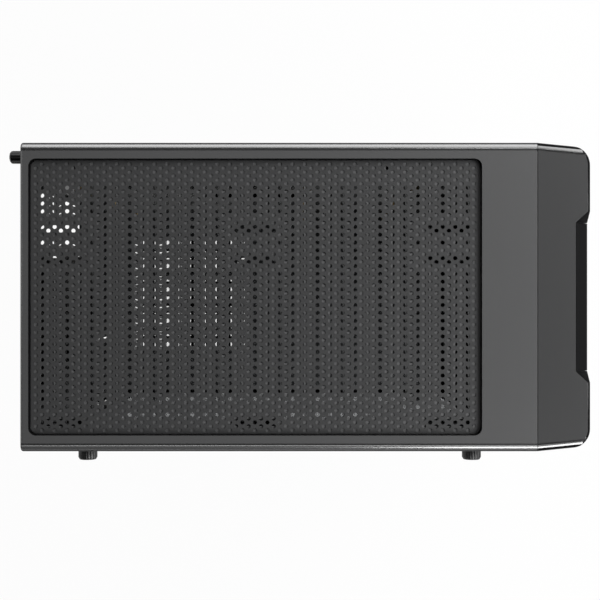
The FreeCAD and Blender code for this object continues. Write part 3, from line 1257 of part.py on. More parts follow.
def notch_corner(label, side):
    """The slanted cut from the top of the channel's side out to the front face, a four-cornered solid."""
    inner = measure("x_mid") + side * measure("channel_half")
    outer = measure("x_mid") + side * measure("channel_mouth")
    front = measure("y_front")
    floor = front + measure("channel_depth")
    top = measure("z_top") + 0.01
    a = Vector(outer, front, top)
    b = Vector(inner, front + measure("notch_depth"), top)
    c = Vector(inner, floor, measure("z_notch"))
    d = Vector(inner, front - 1, top)
    rings = ([a, b, c], [a, b, d], [b, c, d], [a, c, d])
    faces = [Part.Face(Part.makePolygon(ring + ring[:1])) for ring in rings]
    corner = doc.addObject("Part::Feature", label)
    corner.Shape = Part.makeSolid(Part.makeShell(faces))
    return corner


bezel_hollows += [notch_corner("notch_corner_glass", -1), notch_corner("notch_corner_steel", 1)]
outside = ("y_front - 2", "y_front + bezel_wall + 1")
bezel_hollows.append(box("control_opening", ("x_control - control_half", "x_control + control_half"),
                         outside, ("z_control_low", "z_control_top")))
bezel_shell = cut("bezel_shell", bezel_form, [fuse("bezel_cuts", bezel_hollows)])
board_post = rod("board_post", "y", "board_post_radius", ("y_front + bezel_wall - 1", "y_board"),
                 ("x_control", "z_top - board_screw_low"))
bezel_posted = fuse("bezel_posted", [bezel_shell, board_post])
board_screw_levels = ["z_top - board_screw_top", "z_top - board_screw_low"]
board_pilots = [
    rod(f"board_pilot_{number}", "y", "board_pilot", ("y_board - board_screw_length - 1", "y_board + 1"),
        ("x_control", level))
    for number, level in enumerate(board_screw_levels, 1)
]
keep(cut("front_bezel", bezel_posted, board_pilots))

# Control plate: moulded plate let into the bezel, with holes for the buttons, lenses, ports and jacks;
# lips at its two ends lie against the back of the bezel's wall.
usb_levels = ["z_top - usb_drop", "z_top - usb_drop - usb_step"]
jack_levels = ["z_top - jack_drop", "z_top - jack_drop - jack_step"]
lens_levels = ["z_top - lens_drop", "z_top - lens_drop - lens_step"]
control_across = ("x_control - control_half + control_gap", "x_control + control_half - control_gap")
control_forms = [
    box("control_face", control_across, ("y_front", "y_front + bezel_wall"),
        ("z_control_low + control_gap", "z_control_top - control_gap")),
]
for name, low, high in (("top", "z_control_top - control_lip", "z_control_top + control_lip"),
                        ("low", "z_control_low - control_lip", "z_control_low + control_lip")):
    control_forms.append(box(f"control_lip_{name}", control_across,
                             ("y_front + bezel_wall", "y_front + bezel_wall + control_lip_gauge"),
                             (low, high)))
control_cuts = [
    rod("power_hole", "y", "power_radius + slip_gap", outside, ("x_control", "z_top - power_drop")),
    rod("reset_hole", "y", "reset_radius + slip_gap", outside, ("x_control", "z_top - reset_drop")),
]
for number, level in enumerate(lens_levels, 1):
    control_cuts.append(rod(f"lens_hole_{number}", "y", "lens_radius + lens_gap", outside,
                            ("x_control", level)))
for number, level in enumerate(usb_levels, 1):
    control_cuts.append(box(f"usb_hole_{number}",
                            ("x_control - usb_width / 2 - port_gap", "x_control + usb_width / 2 + port_gap"),
                            outside,
                            (f"{level} - usb_height / 2 - port_gap",
                             f"{level} + usb_height / 2 + port_gap")))
for number, level in enumerate(jack_levels, 1):
    control_cuts.append(rod(f"jack_hole_{number}", "y", "jack_radius + port_gap", outside,
                            ("x_control", level)))
keep(cut("control_plate", fuse("control_blank", control_forms), control_cuts))

# Front clips: moulded pegs on the back of the bezel whose pins plug into the front plate.
pegs = []
for number, place in enumerate(clip_places, 1):
    post = rod(f"clip_post_{number}", "y", "clip_radius + clip_shoulder", ("y_board", "y_seam"), place)
    pin = rod(f"clip_pin_{number}", "y", "clip_radius", ("y_seam - 1", "y_seam + clip_length"), place)
    pegs.append(fuse(f"clip_{number}", [post, pin]))
keep(group("front_clips", pegs))

# Front grille: perforated black sheet in the channel, its top bent back to meet the notch edge.
grille_body = doc.addObject("PartDesign::Body", "grille_sheet")
grille_sketch = sketch_on(grille_body, "YZ_Plane", "grille_section", "x_mid - channel_half + fit_gap")
face = "y_front + channel_depth"
back = "y_front + notch_depth - fit_gap"
outline(grille_sketch, [
    (face, "z_grille_low + fit_gap"),
    (f"{face} + grille_gauge", "z_grille_low + fit_gap"),
    (f"{face} + grille_gauge", "z_notch - slope_step"),
    (back, "z_top - slope_step - slope_thick"),
    (back, "z_top - slope_step"),
    (face, "z_notch"),
])
grille_sheet = pad(grille_body, grille_sketch, "2 * channel_half - 2 * fit_gap")
hole_sketch = sketch_on(grille_body, "XZ_Plane", "grille_holes", "-y_front - channel_depth")
for column in range(15):
    centre = f"x_mid + {column - 7} * grille_slot_pitch"
    outline(hole_sketch, rectangle(
        (f"{centre} - grille_slot / 2", f"{centre} + grille_slot / 2"),
        ("z_grille_low + grille_slot_inset", "z_grille_low + grille_slot_inset + grille_slot_length")))
grille_row = grille_body.newObject("PartDesign::Pocket", "grille_row")
grille_row.Profile = hole_sketch
grille_row.Type = "ThroughAll"
grille_row.Midplane = True
grille_rows = grille_body.newObject("PartDesign::LinearPattern", "grille_rows")
grille_rows.Originals = [grille_row]
grille_rows.Direction = (hole_sketch, ["V_Axis"])
grille_rows.Occurrences = 8
grille_rows.setExpression("Length", formula("7 * (z_notch - z_grille_low - grille_margin) / 8"))
grille_body.Tip = grille_rows
grille_folds = [
    box(f"grille_fold_{name}", across, (face, f"{face} + grille_fold"),
        ("z_grille_low + fit_gap", "z_notch - 1"))
    for name, across in (
        ("glass", ("x_mid - channel_half + fit_gap", "x_mid - channel_half + fit_gap + grille_gauge")),
        ("steel", ("x_mid + channel_half - fit_gap - grille_gauge", "x_mid + channel_half - fit_gap")),
    )
]
keep(fuse("front_grille", [grille_body] + grille_folds))

# Front filter: frame and mesh behind the grille, resting on the bezel's ribs.
sieve_along = ("y_board", "y_board + front_filter_thick")
sieve_block = box("front_filter_block", ("x_mid - front_filter_half", "x_mid + front_filter_half"),
                  sieve_along, ("z_grille_low - 3", "z_notch"))
sieve_holes = [
    box(f"front_filter_hole_{number}",
        ("x_mid - front_filter_half + front_filter_rim", "x_mid + front_filter_half - front_filter_rim"),
        ("y_board - 1", "y_board + front_filter_thick + 1"),
        (f"z_grille_low + 2 + {number} * (z_notch - z_grille_low - 4) / 4",
         f"z_grille_low - 1 + {number + 1} * (z_notch - z_grille_low - 4) / 4"))
    for number in range(4)
]
keep(cut("front_filter_frame", sieve_block, sieve_holes))
sieve = box("front_filter_sheet", ("x_mid - front_filter_half + 1", "x_mid + front_filter_half - 1"),
            ("y_board + front_filter_thick", "y_board + front_filter_thick + front_mesh"),
            ("z_grille_low - 2", "z_notch - 1"))
sieve.Label = "front_filter_mesh"
keep(sieve)

# Control board and what stands on it: data ports, sound jacks, switches, lenses and two screws.
board_sheet = box("board_sheet", ("x_control - board_half", "x_control + board_half"),
                  ("y_board", "y_board + board_gauge"),
                  ("z_top - control_board_drop - board_length", "z_top - control_board_drop"))
board_holes = [
    rod(f"board_hole_{number}", "y", "board_hole", ("y_board - 1", "y_board + board_gauge + 1"),
        ("x_control", level))
    for number, level in enumerate(board_screw_levels, 1)
]
keep(cut("io_board", board_sheet, board_holes))
board_screws = []
for number, level in enumerate(board_screw_levels, 1):
    head = rod(f"board_screw_head_{number}", "y", "board_screw_head",
               ("y_board + board_gauge", "y_board + board_gauge + board_screw_height"), ("x_control", level))
    shank = rod(f"board_screw_shank_{number}", "y", "board_screw_shank",
                ("y_board - board_screw_length", "y_board + board_gauge"), ("x_control", level))
    board_screws.append(fuse(f"board_screw_{number}", [head, shank]))
keep(group("io_screws", board_screws))
for number, level in enumerate(usb_levels, 1):
    half = "usb_width / 2"
    tall = "usb_height / 2"
    shell = box(f"usb_block_{number}", (f"x_control - {half}", f"x_control + {half}"),
                ("y_front + port_recess", "y_board"), (f"{level} - {tall}", f"{level} + {tall}"))
    inside = box(f"usb_inside_{number}",
                 (f"x_control - {half} + usb_wall", f"x_control + {half} - usb_wall"),
                 ("y_front - 1", "y_board - 1"),
                 (f"{level} - {tall} + usb_wall", f"{level} + {tall} - usb_wall"))
    keep(cut(f"usb_port_{number}", shell, [inside]))
    tongue = box(f"usb_tongue_{number}", ("x_control - tongue_half", "x_control + tongue_half"),
                 ("y_front + tongue_recess", "y_board - 1"),
                 (f"{level} + tongue_rise", f"{level} + tongue_rise + tongue_thick"))
    keep(tongue)
for number, level in enumerate(jack_levels, 1):
    housing = box(f"jack_housing_{number}", ("x_control - jack_half", "x_control + jack_half"),
                  ("y_front + bezel_wall + fit_gap", "y_board"),
                  (f"{level} - jack_half", f"{level} + jack_half"))
    nose = rod(f"jack_nose_{number}", "y", "jack_radius",
               ("y_front + jack_recess", "y_front + bezel_wall + 1"), ("x_control", level))
    socket = rod(f"jack_socket_{number}", "y", "jack_bore", ("y_front - 1", "y_board - 2"),
                 ("x_control", level))
    keep(cut(f"audio_jack_{number}", fuse(f"jack_blank_{number}", [housing, nose]), [socket]))
for name, level in zip(("power", "drive"), lens_levels):
    keep(rod(f"{name}_lens", "y", "lens_radius",
             ("y_front + lens_recess", "y_front + bezel_wall + lens_tail"), ("x_control", level)))
for name, drop in (("power", "power_drop"), ("reset", "reset_drop")):
    level = f"z_top - {drop}"
    housing = box(f"{name}_switch_body", ("x_control - switch_half", "x_control + switch_half"),
                  ("y_board - switch_height", "y_board"),
                  (f"{level} - switch_half", f"{level} + switch_half"))
    plunger = rod(f"{name}_switch_plunger", "y", "plunger_radius",
                  ("y_board - switch_height - plunger_height", "y_board - switch_height"),
                  ("x_control", level))
    keep(fuse(f"{name}_switch", [housing, plunger]))
    radius = f"{name}_radius"
    shape = [
        ("0", "-button_proud"),
        (f"{radius} - button_bevel", "-button_proud"),
        (radius, "-button_proud + button_bevel"),
        (radius, "bezel_wall + button_gap"),
        (f"{radius} + button_flange", "bezel_wall + button_gap"),
        (f"{radius} + button_flange", "bezel_wall + button_lip"),
        ("button_stem", "bezel_wall + button_lip"),
        ("button_stem", "rib_depth - switch_height - plunger_height - button_travel - button_play"),
        ("0", "rib_depth - switch_height - plunger_height - button_travel - button_play"),
    ]
    keep(turned(f"{name}_button", shape, Rotation(), ("x_control", "y_front", level)))

doc.recompute()
for obj in doc.Objects:
    if "Invalid" in obj.State or "Error" in obj.State:
        raise RuntimeError(f"{obj.Label} did not build: {obj.State}")
os.makedirs("parts", exist_ok=True)
for piece in pieces:
    if piece.Shape.isNull() or not piece.Shape.isValid():
        raise RuntimeError(f"{piece.Label} has no valid shape")
    piece.Shape.exportStep(f"parts/{piece.Label}.step")
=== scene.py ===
import math

import bmesh
import bpy
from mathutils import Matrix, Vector


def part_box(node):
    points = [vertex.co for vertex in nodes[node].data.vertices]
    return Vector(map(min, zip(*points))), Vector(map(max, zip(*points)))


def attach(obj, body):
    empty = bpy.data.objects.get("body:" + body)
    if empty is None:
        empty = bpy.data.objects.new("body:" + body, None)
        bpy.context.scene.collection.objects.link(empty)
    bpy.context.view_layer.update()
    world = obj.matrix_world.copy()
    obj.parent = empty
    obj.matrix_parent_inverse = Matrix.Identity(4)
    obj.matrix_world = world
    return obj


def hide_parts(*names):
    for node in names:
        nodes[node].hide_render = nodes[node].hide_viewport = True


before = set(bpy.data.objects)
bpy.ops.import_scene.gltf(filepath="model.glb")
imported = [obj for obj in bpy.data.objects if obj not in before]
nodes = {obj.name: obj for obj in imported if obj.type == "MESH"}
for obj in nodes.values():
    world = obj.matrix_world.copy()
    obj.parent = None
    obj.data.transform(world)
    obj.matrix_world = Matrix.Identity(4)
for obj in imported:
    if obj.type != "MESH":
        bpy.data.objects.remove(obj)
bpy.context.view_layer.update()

# Chassis: floor, rear wall, board tray, front wall, power supply shroud, drive cage and brackets.
# Folded sheet steel with a fine satin black powder coat, riveted together at the flanges.
MM = 0.001
CHASSIS_BLACK = (0.022, 0.0222, 0.023, 1)
GRAIN_DETAIL = 3.0
GRAIN_HEIGHT = 0.2 * MM
CLOUD_SCALE = 23.0
CLOUD_DETAIL = 2.0
CLOUD_MEAN = 0.5


def node_group(name, kind, inputs, outputs):
    """A node group with named sockets, and its two ends."""
    tree = bpy.data.node_groups.new(name, kind)
    for label, socket in inputs.items():
        tree.interface.new_socket(label, in_out="INPUT", socket_type="NodeSocket" + socket)
    for label, socket in outputs.items():
        tree.interface.new_socket(label, in_out="OUTPUT", socket_type="NodeSocket" + socket)
    given = tree.nodes.new("NodeGroupInput").outputs
    return tree, given, tree.nodes.new("NodeGroupOutput").inputs


def step(tree, kind, inputs=None, **options):
    """Add a node, set its options, link or set its inputs, and give its outputs."""
    node = tree.nodes.new(kind)
    for key, value in options.items():
        setattr(node, key, value)
    for label, value in (inputs or {}).items():
        for one in value if isinstance(value, list) else [value]:
            if isinstance(one, bpy.types.NodeSocket):
                tree.links.new(one, node.inputs[label])
            else:
                node.inputs[label].default_value = one
    return node.outputs


def reckon(tree, operation, *values):
    """One sum with numbers or sockets."""
    return step(tree, "ShaderNodeMath", dict(enumerate(values)), operation=operation)["Value"]


# The grain of a sprayed or moulded skin: tiny bumps, and a slow drift of tone and gloss.
skin, given, made = node_group("skin_grain", "ShaderNodeTree", {
    "Colour": "Color", "Roughness": "Float", "Grain Scale": "Float", "Grain Depth": "Float",
    "Drift": "Float",
}, {"Colour": "Color", "Roughness": "Float", "Normal": "Vector"})
coords = step(skin, "ShaderNodeTexCoord")["Object"]
grain = step(skin, "ShaderNodeTexNoise", {
    "Vector": coords, "Scale": given["Grain Scale"], "Detail": GRAIN_DETAIL})["Fac"]
cloud = step(skin, "ShaderNodeTexNoise", {
    "Vector": coords, "Scale": CLOUD_SCALE, "Detail": CLOUD_DETAIL})["Fac"]
swing = reckon(skin, "SUBTRACT", cloud, CLOUD_MEAN)
swing = reckon(skin, "MULTIPLY_ADD", swing, given["Drift"], 1.0)
tone = step(skin, "ShaderNodeVectorMath", {"Vector": given["Colour"], "Scale": swing},
            operation="SCALE")["Vector"]
gloss = reckon(skin, "MULTIPLY", given["Roughness"], swing)
bump = step(skin, "ShaderNodeBump", {
    "Height": grain, "Strength": given["Grain Depth"], "Distance": GRAIN_HEIGHT})["Normal"]
for label, value in (("Colour", tone), ("Roughness", gloss), ("Normal", bump)):
    skin.links.new(value, made[label])


def blank_material(name):
    """A material with its Principled shader."""
    material = bpy.data.materials.new(name)
    material.use_nodes = True
    return material, material.node_tree.nodes["Principled BSDF"]


def skinned(name, colour, roughness, grain=1400.0, depth=0.15, drift=0.12, metallic=0.0,
            specular=0.5):
    """A material whose surface is the skin grain."""
    material, shader = blank_material(name)
    tree = material.node_tree
    surface = tree.nodes.new("ShaderNodeGroup")
    surface.node_tree = skin
    settings = {"Colour": colour, "Roughness": roughness, "Grain Scale": grain,
                "Grain Depth": depth, "Drift": drift}
    for label, value in settings.items():
        surface.inputs[label].default_value = value
    tree.links.new(surface.outputs["Colour"], shader.inputs["Base Color"])
    tree.links.new(surface.outputs["Roughness"], shader.inputs["Roughness"])
    tree.links.new(surface.outputs["Normal"], shader.inputs["Normal"])
    shader.inputs["Metallic"].default_value = metallic
    shader.inputs["Specular IOR Level"].default_value = specular
    return material


def paint(mesh, *materials):
    """Give a mesh these materials and no others."""
    mesh.materials.clear()
    for material in materials:
        mesh.materials.append(material)


def dress(material, *names):
    """Give CAD nodes a material."""
    for name in names:
        paint(nodes[name].data, material)


chassis_paint = skinned("chassis_paint", CHASSIS_BLACK, 0.45, grain=1700.0, depth=0.25)
dress(chassis_paint, "base_pan", "rear_panel", "motherboard_tray", "front_plate", "psu_shroud",
      "drive_cage", "ssd_bracket_upper", "ssd_bracket_lower", "slot_shelf")
dress(chassis_paint, *[name for name in nodes if name.startswith("slot_cover_")])

# Rivets, rivet nuts and small screws: plated steel, pressed or driven into the flanges and rails.
# The slot and fan screws are rolled with round heads and a cross recess.
SCREW_SIDES = 32
RECESS_REACH = 0.55
RECESS_EDGE = 0.52
RECESS_CORE = 0.2
RECESS_DEPTH = 0.45
RECESS_ARM = math.radians(12)
HEAD_TOP = 0.97
HEAD_RINGS = ((1, 0), (1, 0.35), (0.9, 0.7), (0.7, 0.95), (RECESS_REACH, 1),
              (RECESS_REACH * 0.9, 1), (0.3, 1), (0.12, 1))
SLOT_SCREW = {"head": 3.2 * MM, "height": 2.2 * MM, "shank": 1.6 * MM}
SLOT_SCREWS = 7
NEW_CREASE = math.radians(30)

zinc = skinned("zinc_plate", (0.55, 0.55, 0.56, 1), 0.32, grain=900.0, depth=0.1, drift=0.3,
               metallic=1.0)
dress(zinc, "chassis_rivets", "glass_nuts", "io_screws")


def at_points(tree, points, piece, **more):
    """Copies of a piece at points."""
    return step(tree, "GeometryNodeInstanceOnPoints",
                {"Points": points, "Instance": piece, **more})["Instances"]


def finish_tree(tree, shape, given, made):
    """Make a tree's instances real, give them the material and send them out."""
    shape = step(tree, "GeometryNodeRealizeInstances", {"Geometry": shape})["Geometry"]
    shape = step(tree, "GeometryNodeSetMaterial",
                 {"Geometry": shape, "Material": given["Material"]})["Geometry"]
    tree.links.new(shape, made["Geometry"])


# One piece repeated at every point, all turned the same way.
copies, given, made = node_group("set_of_pieces", "GeometryNodeTree", {
    "Points": "Geometry", "Piece": "Object", "Turn": "Vector", "Material": "Material",
}, {"Geometry": "Geometry"})
single = step(copies, "GeometryNodeObjectInfo", {"Object": given["Piece"]})["Geometry"]
spread = at_points(copies, given["Points"], single, Rotation=given["Turn"])
finish_tree(copies, spread, given, made)


def in_scene(name, data):
    """An object in the scene for a mesh, a lamp or a camera."""
    thing = bpy.data.objects.new(name, data)
    bpy.context.scene.collection.objects.link(thing)
    return thing


def grow(name, points, tree, values, marks=None):
    """Run a node tree on points and keep the result as a plain mesh."""
    seeds = bpy.data.meshes.new(name + "_points")
    seeds.from_pydata(points, [], [])
    for label, flags in (marks or {}).items():
        seeds.attributes.new(label, "BOOLEAN", "POINT").data.foreach_set("value", flags)
    piece = in_scene(name, seeds)
    worker = piece.modifiers.new("build", "NODES")
    worker.node_group = tree
    for socket in tree.interface.items_tree:
        if socket.in_out == "INPUT" and socket.name in values:
            worker[socket.identifier] = values[socket.name]
    graph = bpy.context.evaluated_depsgraph_get()
    mesh = bpy.data.meshes.new_from_object(piece.evaluated_get(graph), depsgraph=graph)
    mesh.name = name
    mesh.shade_smooth()
    mesh.set_sharp_from_angle(angle=NEW_CREASE)
    piece.modifiers.clear()
    piece.data = mesh
    return piece


def settle(piece, body, slot, *replaced):
    """Attach a new piece to what it rides on and hide the CAD nodes it stands for; the slot
    argument, meant to name its finish, is not used.
    """
    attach(piece, body)
    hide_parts(*replaced)


def turned(name, profile, sides, ridge=0.0):
    """A shape turned about Z from rings of radius, height and whether they carry the ridges."""
    edit = bmesh.new()
    rings = []
    for radius, height, ridged in profile:
        ring = []
        for number in range(sides):
            angle = 2 * math.pi * number / sides
            out = radius - (ridge if ridged and number % 2 else 0)
            ring.append(edit.verts.new((out * math.cos(angle), out * math.sin(angle), height)))
        rings.append(ring)
    for lower, upper in zip(rings, rings[1:]):
        for number in range(sides):
            after = (number + 1) % sides
            edit.faces.new((lower[number], lower[after], upper[after], upper[number]))
    edit.faces.new(reversed(rings[0]))
    edit.faces.new(rings[-1])
    mesh = bpy.data.meshes.new(name)
    edit.to_mesh(mesh)
    edit.free()
    return bpy.data.objects.new(name, mesh)


def cross_screw(name, head, height, shank, length):
    """A round-headed screw along Z with a cross recess, its head on the plane Z = 0."""
    rings = [(shank, -length, False), (shank, 0, False)]
    rings += [(wide * head, tall * height, False) for wide, tall in HEAD_RINGS]
    screw = turned(name, rings, SCREW_SIDES)
    for point in screw.data.vertices:
        out = math.hypot(point.co.x, point.co.y)
        angle = math.atan2(point.co.y, point.co.x) % (math.pi / 2)
        on_arm = min(angle, math.pi / 2 - angle) < RECESS_ARM or out < RECESS_CORE * head
        if on_arm and point.co.z > HEAD_TOP * height and out < RECESS_EDGE * head:
            point.co.z -= RECESS_DEPTH * height
    return screw


def place_all(name, model, points, turn, material):
    """Put copies of one loose model at points and let the model go."""
    piece = grow(name, points, copies, {"Piece": model, "Turn": turn, "Material": material})
    bpy.data.objects.remove(model)
    return piece


slot_low, slot_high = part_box("slot_screws")
slot_step = (slot_high.z - slot_low.z - 2 * SLOT_SCREW["head"]) / (SLOT_SCREWS - 1)
slot_seat = slot_low.x + SLOT_SCREW["height"]
slot_screws = place_all(
    "slot_screw_set",
    cross_screw("slot_screw", **SLOT_SCREW,
                length=slot_high.x - slot_low.x - SLOT_SCREW["height"]),
    [(slot_seat, (slot_low.y + slot_high.y) / 2,
      slot_low.z + SLOT_SCREW["head"] + number * slot_step) for number in range(SLOT_SCREWS)],
    (0, -math.pi / 2, 0), zinc)
settle(slot_screws, "chassis", "screw_steel", "slot_screws")

# Board standoffs: turned hexagonal brass posts, screwed into the tray.
# Bare metal with fine turning grain.
brass = skinned("turned_brass", (0.78, 0.56, 0.25, 1), 0.28, grain=700.0, depth=0.1, drift=0.2,
                metallic=1.0)
dress(brass, "standoffs")

# Rubber: cable grommets in the tray, rings behind the glass and pads under the feet.
# Moulded or cut from matt black rubber and pressed into place; the power supply rests on foam.
rubber = skinned("rubber", (0.016, 0.016, 0.0165, 1), 0.75, grain=2200.0, depth=0.3, specular=0.3)
dress(rubber, "cable_grommet_upper", "cable_grommet_middle", "cable_grommet_lower",
      "glass_washers", "foot_pads")
foam = skinned("foam", (0.03, 0.03, 0.031, 1), 0.95, grain=1300.0, depth=0.8, specular=0.15)
dress(foam, "psu_pads")

# Rear fan: moulded black frame and seven-bladed rotor, held by four screws through the rear wall.
# The plastic has a fine matt mould texture.
FAN_SCREW = {"head": 4 * MM, "height": 2.4 * MM, "shank": 2.1 * MM}
JOIN_GAP = 0.002 * MM
CAD_CREASE = math.radians(32)
LEVEL = 0.9998

fan_plastic = skinned("fan_plastic", (0.02, 0.02, 0.021, 1), 0.5, grain=1500.0, depth=0.2,
                      drift=0.1)


def keep_level(mesh):
    """Keep a crease where a level face meets a rounding, so that the level face shades flat."""
    sides = {}
    for face in mesh.polygons:
        for key in face.edge_keys:
            sides.setdefault(key, []).append(abs(face.normal.z) > LEVEL)
    for edge in mesh.edges:
        if len(set(sides.get(edge.key, []))) == 2:
            edge.use_edge_sharp = True


def smoothed(name, node, *materials, level=False):
    """A copy of a CAD node with its corners joined and its round faces shaded smooth."""
    edit = bmesh.new()
    edit.from_mesh(nodes[node].data)
    bmesh.ops.remove_doubles(edit, verts=edit.verts, dist=JOIN_GAP)
    bmesh.ops.recalc_face_normals(edit, faces=edit.faces)
    mesh = bpy.data.meshes.new(name)
    edit.to_mesh(mesh)
    edit.free()
    paint(mesh, *materials)
    for face in mesh.polygons:
        face.material_index = 0
    mesh.shade_smooth()
    mesh.set_sharp_from_angle(angle=CAD_CREASE)
    if level:
        keep_level(mesh)
    piece = in_scene(name, mesh)
    piece.modifiers.new("even_normals", "WEIGHTED_NORMAL").keep_sharp = True
    return piece


settle(smoothed("fan_rotor_smooth", "rear_fan_rotor", fan_plastic),
       "fan_rotor", "fan_plastic", "rear_fan_rotor")
settle(smoothed("fan_frame_smooth", "rear_fan_frame", fan_plastic),
       "chassis", "fan_plastic", "rear_fan_frame")
screw_low, screw_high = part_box("rear_fan_screws")
fan_screws = place_all(
    "fan_screw_set",
    cross_screw("fan_screw", **FAN_SCREW,
                length=screw_high.y - screw_low.y - FAN_SCREW["height"]),
    [(x, screw_high.y - FAN_SCREW["height"], z)
     for x in (screw_low.x + FAN_SCREW["head"], screw_high.x - FAN_SCREW["head"])
     for z in (screw_low.z + FAN_SCREW["head"], screw_high.z - FAN_SCREW["head"])],
    (-math.pi / 2, 0, 0), zinc)
settle(fan_screws, "chassis", "screw_steel", "rear_fan_screws")

# Roof: steel sheet riveted under the cover, punched with round holes and dished slots for fans.
# Its folded side rails and the lip on the glass side are part of the same sheet.
ROOF_GAUGE = 0.8 * MM
ROOF_CORNER = 0.5 * MM
ROOF_PITCH = 5.018 * MM
ROOF_SHIFT = (-0.46 * MM, 0.56 * MM)
ROOF_HOLE = 1.75 * MM
ROOF_HOLE_SIDES = 12
ROOF_COLUMNS = range(-27, 28)
ROOF_ROWS = range(-13, 15)
ROOF_END_ROW = -14
ROOF_END_COLUMNS = 18
ROOF_EDGE_ROW = -15
ROOF_EDGE_COLUMNS = range(-15, 18)
FAN_DISH = (8.6 * MM, 32.4 * MM)
FAN_DISH_ROUND = 0.49
FAN_DISH_DEPTH = 0.35 * MM
FAN_SLOT = (4.6 * MM, 28 * MM)
FAN_SLOT_ROWS = (55.2 * MM, 75.1 * MM, 179.6 * MM)
FAN_SLOT_COLUMNS = (26.5 * MM, 150.25 * MM, 274 * MM)
FAN_SLOT_MARGIN = 1.0 * MM
CABLE_HOLE_PLACES = (35.5 * MM, 235.5 * MM)
CABLE_HOLE_OFFSET = 83 * MM
RAIL_END = 0.8 * MM
LIP_DROP = 10 * MM
LIP_WIDTH = 15 * MM
LIP_FRONT = 13 * MM
LIP_FAN_GAP = 1 * MM
CORNER_STEPS = 6
SLOT_END_STEPS = 7
NEARLY_HALF = 0.499
WELD_GAP = 0.001 * MM

cover_low, cover_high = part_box("top_cover")
roof_low, roof_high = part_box("roof_panel")
filter_low, filter_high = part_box("top_filter")
fan_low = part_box("rear_fan_frame")[0]
x_mid = (cover_low.x + cover_high.x) / 2
y_window = (filter_low.y + filter_high.y) / 2


def marked(tree, label):
    """Where the points carry a mark, and where they don't."""
    yes = step(tree, "GeometryNodeInputNamedAttribute", {"Name": label},
               data_type="BOOLEAN")["Attribute"]
    return yes, step(tree, "FunctionNodeBooleanMath", {0: yes}, operation="NOT")["Boolean"]


def rounded_outline(tree, width, length, radius, steps):
    """The outline of a rectangle with rounded corners."""
    outline = step(tree, "GeometryNodeCurvePrimitiveQuadrilateral",
                   {"Width": width, "Height": length})["Curve"]
    return step(tree, "GeometryNodeFilletCurve",
                {"Curve": outline, "Radius": radius, "Count": steps}, mode="POLY")["Curve"]


# A sheet with round holes at its points, and rounded slots at the points marked as slots.
sheet, given, made = node_group("perforated_sheet", "GeometryNodeTree", {
    "Points": "Geometry", "Width": "Float", "Length": "Float", "Corner": "Float",
    "Thickness": "Float", "Hole Radius": "Float", "Hole Sides": "Int", "Slot Width": "Float",
    "Slot Length": "Float", "Middle": "Vector", "Place": "Vector", "Material": "Material",
}, {"Geometry": "Geometry"})
edge = rounded_outline(sheet, given["Width"], given["Length"], given["Corner"], CORNER_STEPS)
edge = step(sheet, "GeometryNodeTransform",
            {"Geometry": edge, "Translation": given["Middle"]})["Geometry"]
is_slot, is_hole = marked(sheet, "slot")
ring = step(sheet, "GeometryNodeCurvePrimitiveCircle",
            {"Resolution": given["Hole Sides"], "Radius": given["Hole Radius"]},
            mode="RADIUS")["Curve"]
holes = at_points(sheet, given["Points"], ring, Selection=is_hole)
slot_end = reckon(sheet, "MULTIPLY", given["Slot Width"], NEARLY_HALF)
bar = rounded_outline(sheet, given["Slot Width"], given["Slot Length"], slot_end, SLOT_END_STEPS)
slots = at_points(sheet, given["Points"], bar, Selection=is_slot)
rims = step(sheet, "GeometryNodeJoinGeometry", {"Geometry": [edge, holes, slots]})["Geometry"]
rims = step(sheet, "GeometryNodeRealizeInstances", {"Geometry": rims})["Geometry"]
top = step(sheet, "GeometryNodeFillCurve", {"Curve": rims}, mode="TRIANGLES")["Mesh"]
drop = reckon(sheet, "MULTIPLY", given["Thickness"], -1.0)
drop = step(sheet, "ShaderNodeCombineXYZ", {"Z": drop})["Vector"]
under = step(sheet, "GeometryNodeExtrudeMesh",
             {"Mesh": top, "Offset": drop, "Offset Scale": 1.0, "Individual": False},
             mode="FACES")["Mesh"]
under = step(sheet, "GeometryNodeFlipFaces", {"Mesh": under})["Mesh"]
whole = step(sheet, "GeometryNodeJoinGeometry", {"Geometry": [top, under]})["Geometry"]
whole = step(sheet, "GeometryNodeMergeByDistance",
             {"Geometry": whole, "Distance": WELD_GAP})["Geometry"]
whole = step(sheet, "GeometryNodeTransform",
             {"Geometry": whole, "Translation": given["Place"]})["Geometry"]
finish_tree(sheet, whole, given, made)


def add_block(piece, low, high):
    """Add a block between two corners to a piece's mesh."""
    edit = bmesh.new()
    edit.from_mesh(piece.data)
    corners = bmesh.ops.create_cube(edit, size=1)["verts"]
    size = Vector(high) - Vector(low)
    middle = (Vector(high) + Vector(low)) / 2
    for corner in corners:
        corner.co = middle + Vector(a * b for a, b in zip(corner.co, size))
    edit.to_mesh(piece.data)
    edit.free()


def join_to(piece, other):
    """Move another piece's mesh into this one."""
    edit = bmesh.new()
    edit.from_mesh(piece.data)
    edit.from_mesh(other.data)
    edit.to_mesh(piece.data)
    edit.free()
    bpy.data.objects.remove(other)


slot_spots = [(cover_high.x - row, cover_high.y - column, 0)
              for row in FAN_SLOT_ROWS for column in FAN_SLOT_COLUMNS]


def beside_slot(spot):
    """True where a round hole would run into a fan slot's rim."""
    reach = [side / 2 + ROOF_HOLE + FAN_SLOT_MARGIN for side in FAN_DISH]
    return any(abs(spot[0] - slot[0]) < reach[0] and abs(spot[1] - slot[1]) < reach[1]
               for slot in slot_spots)


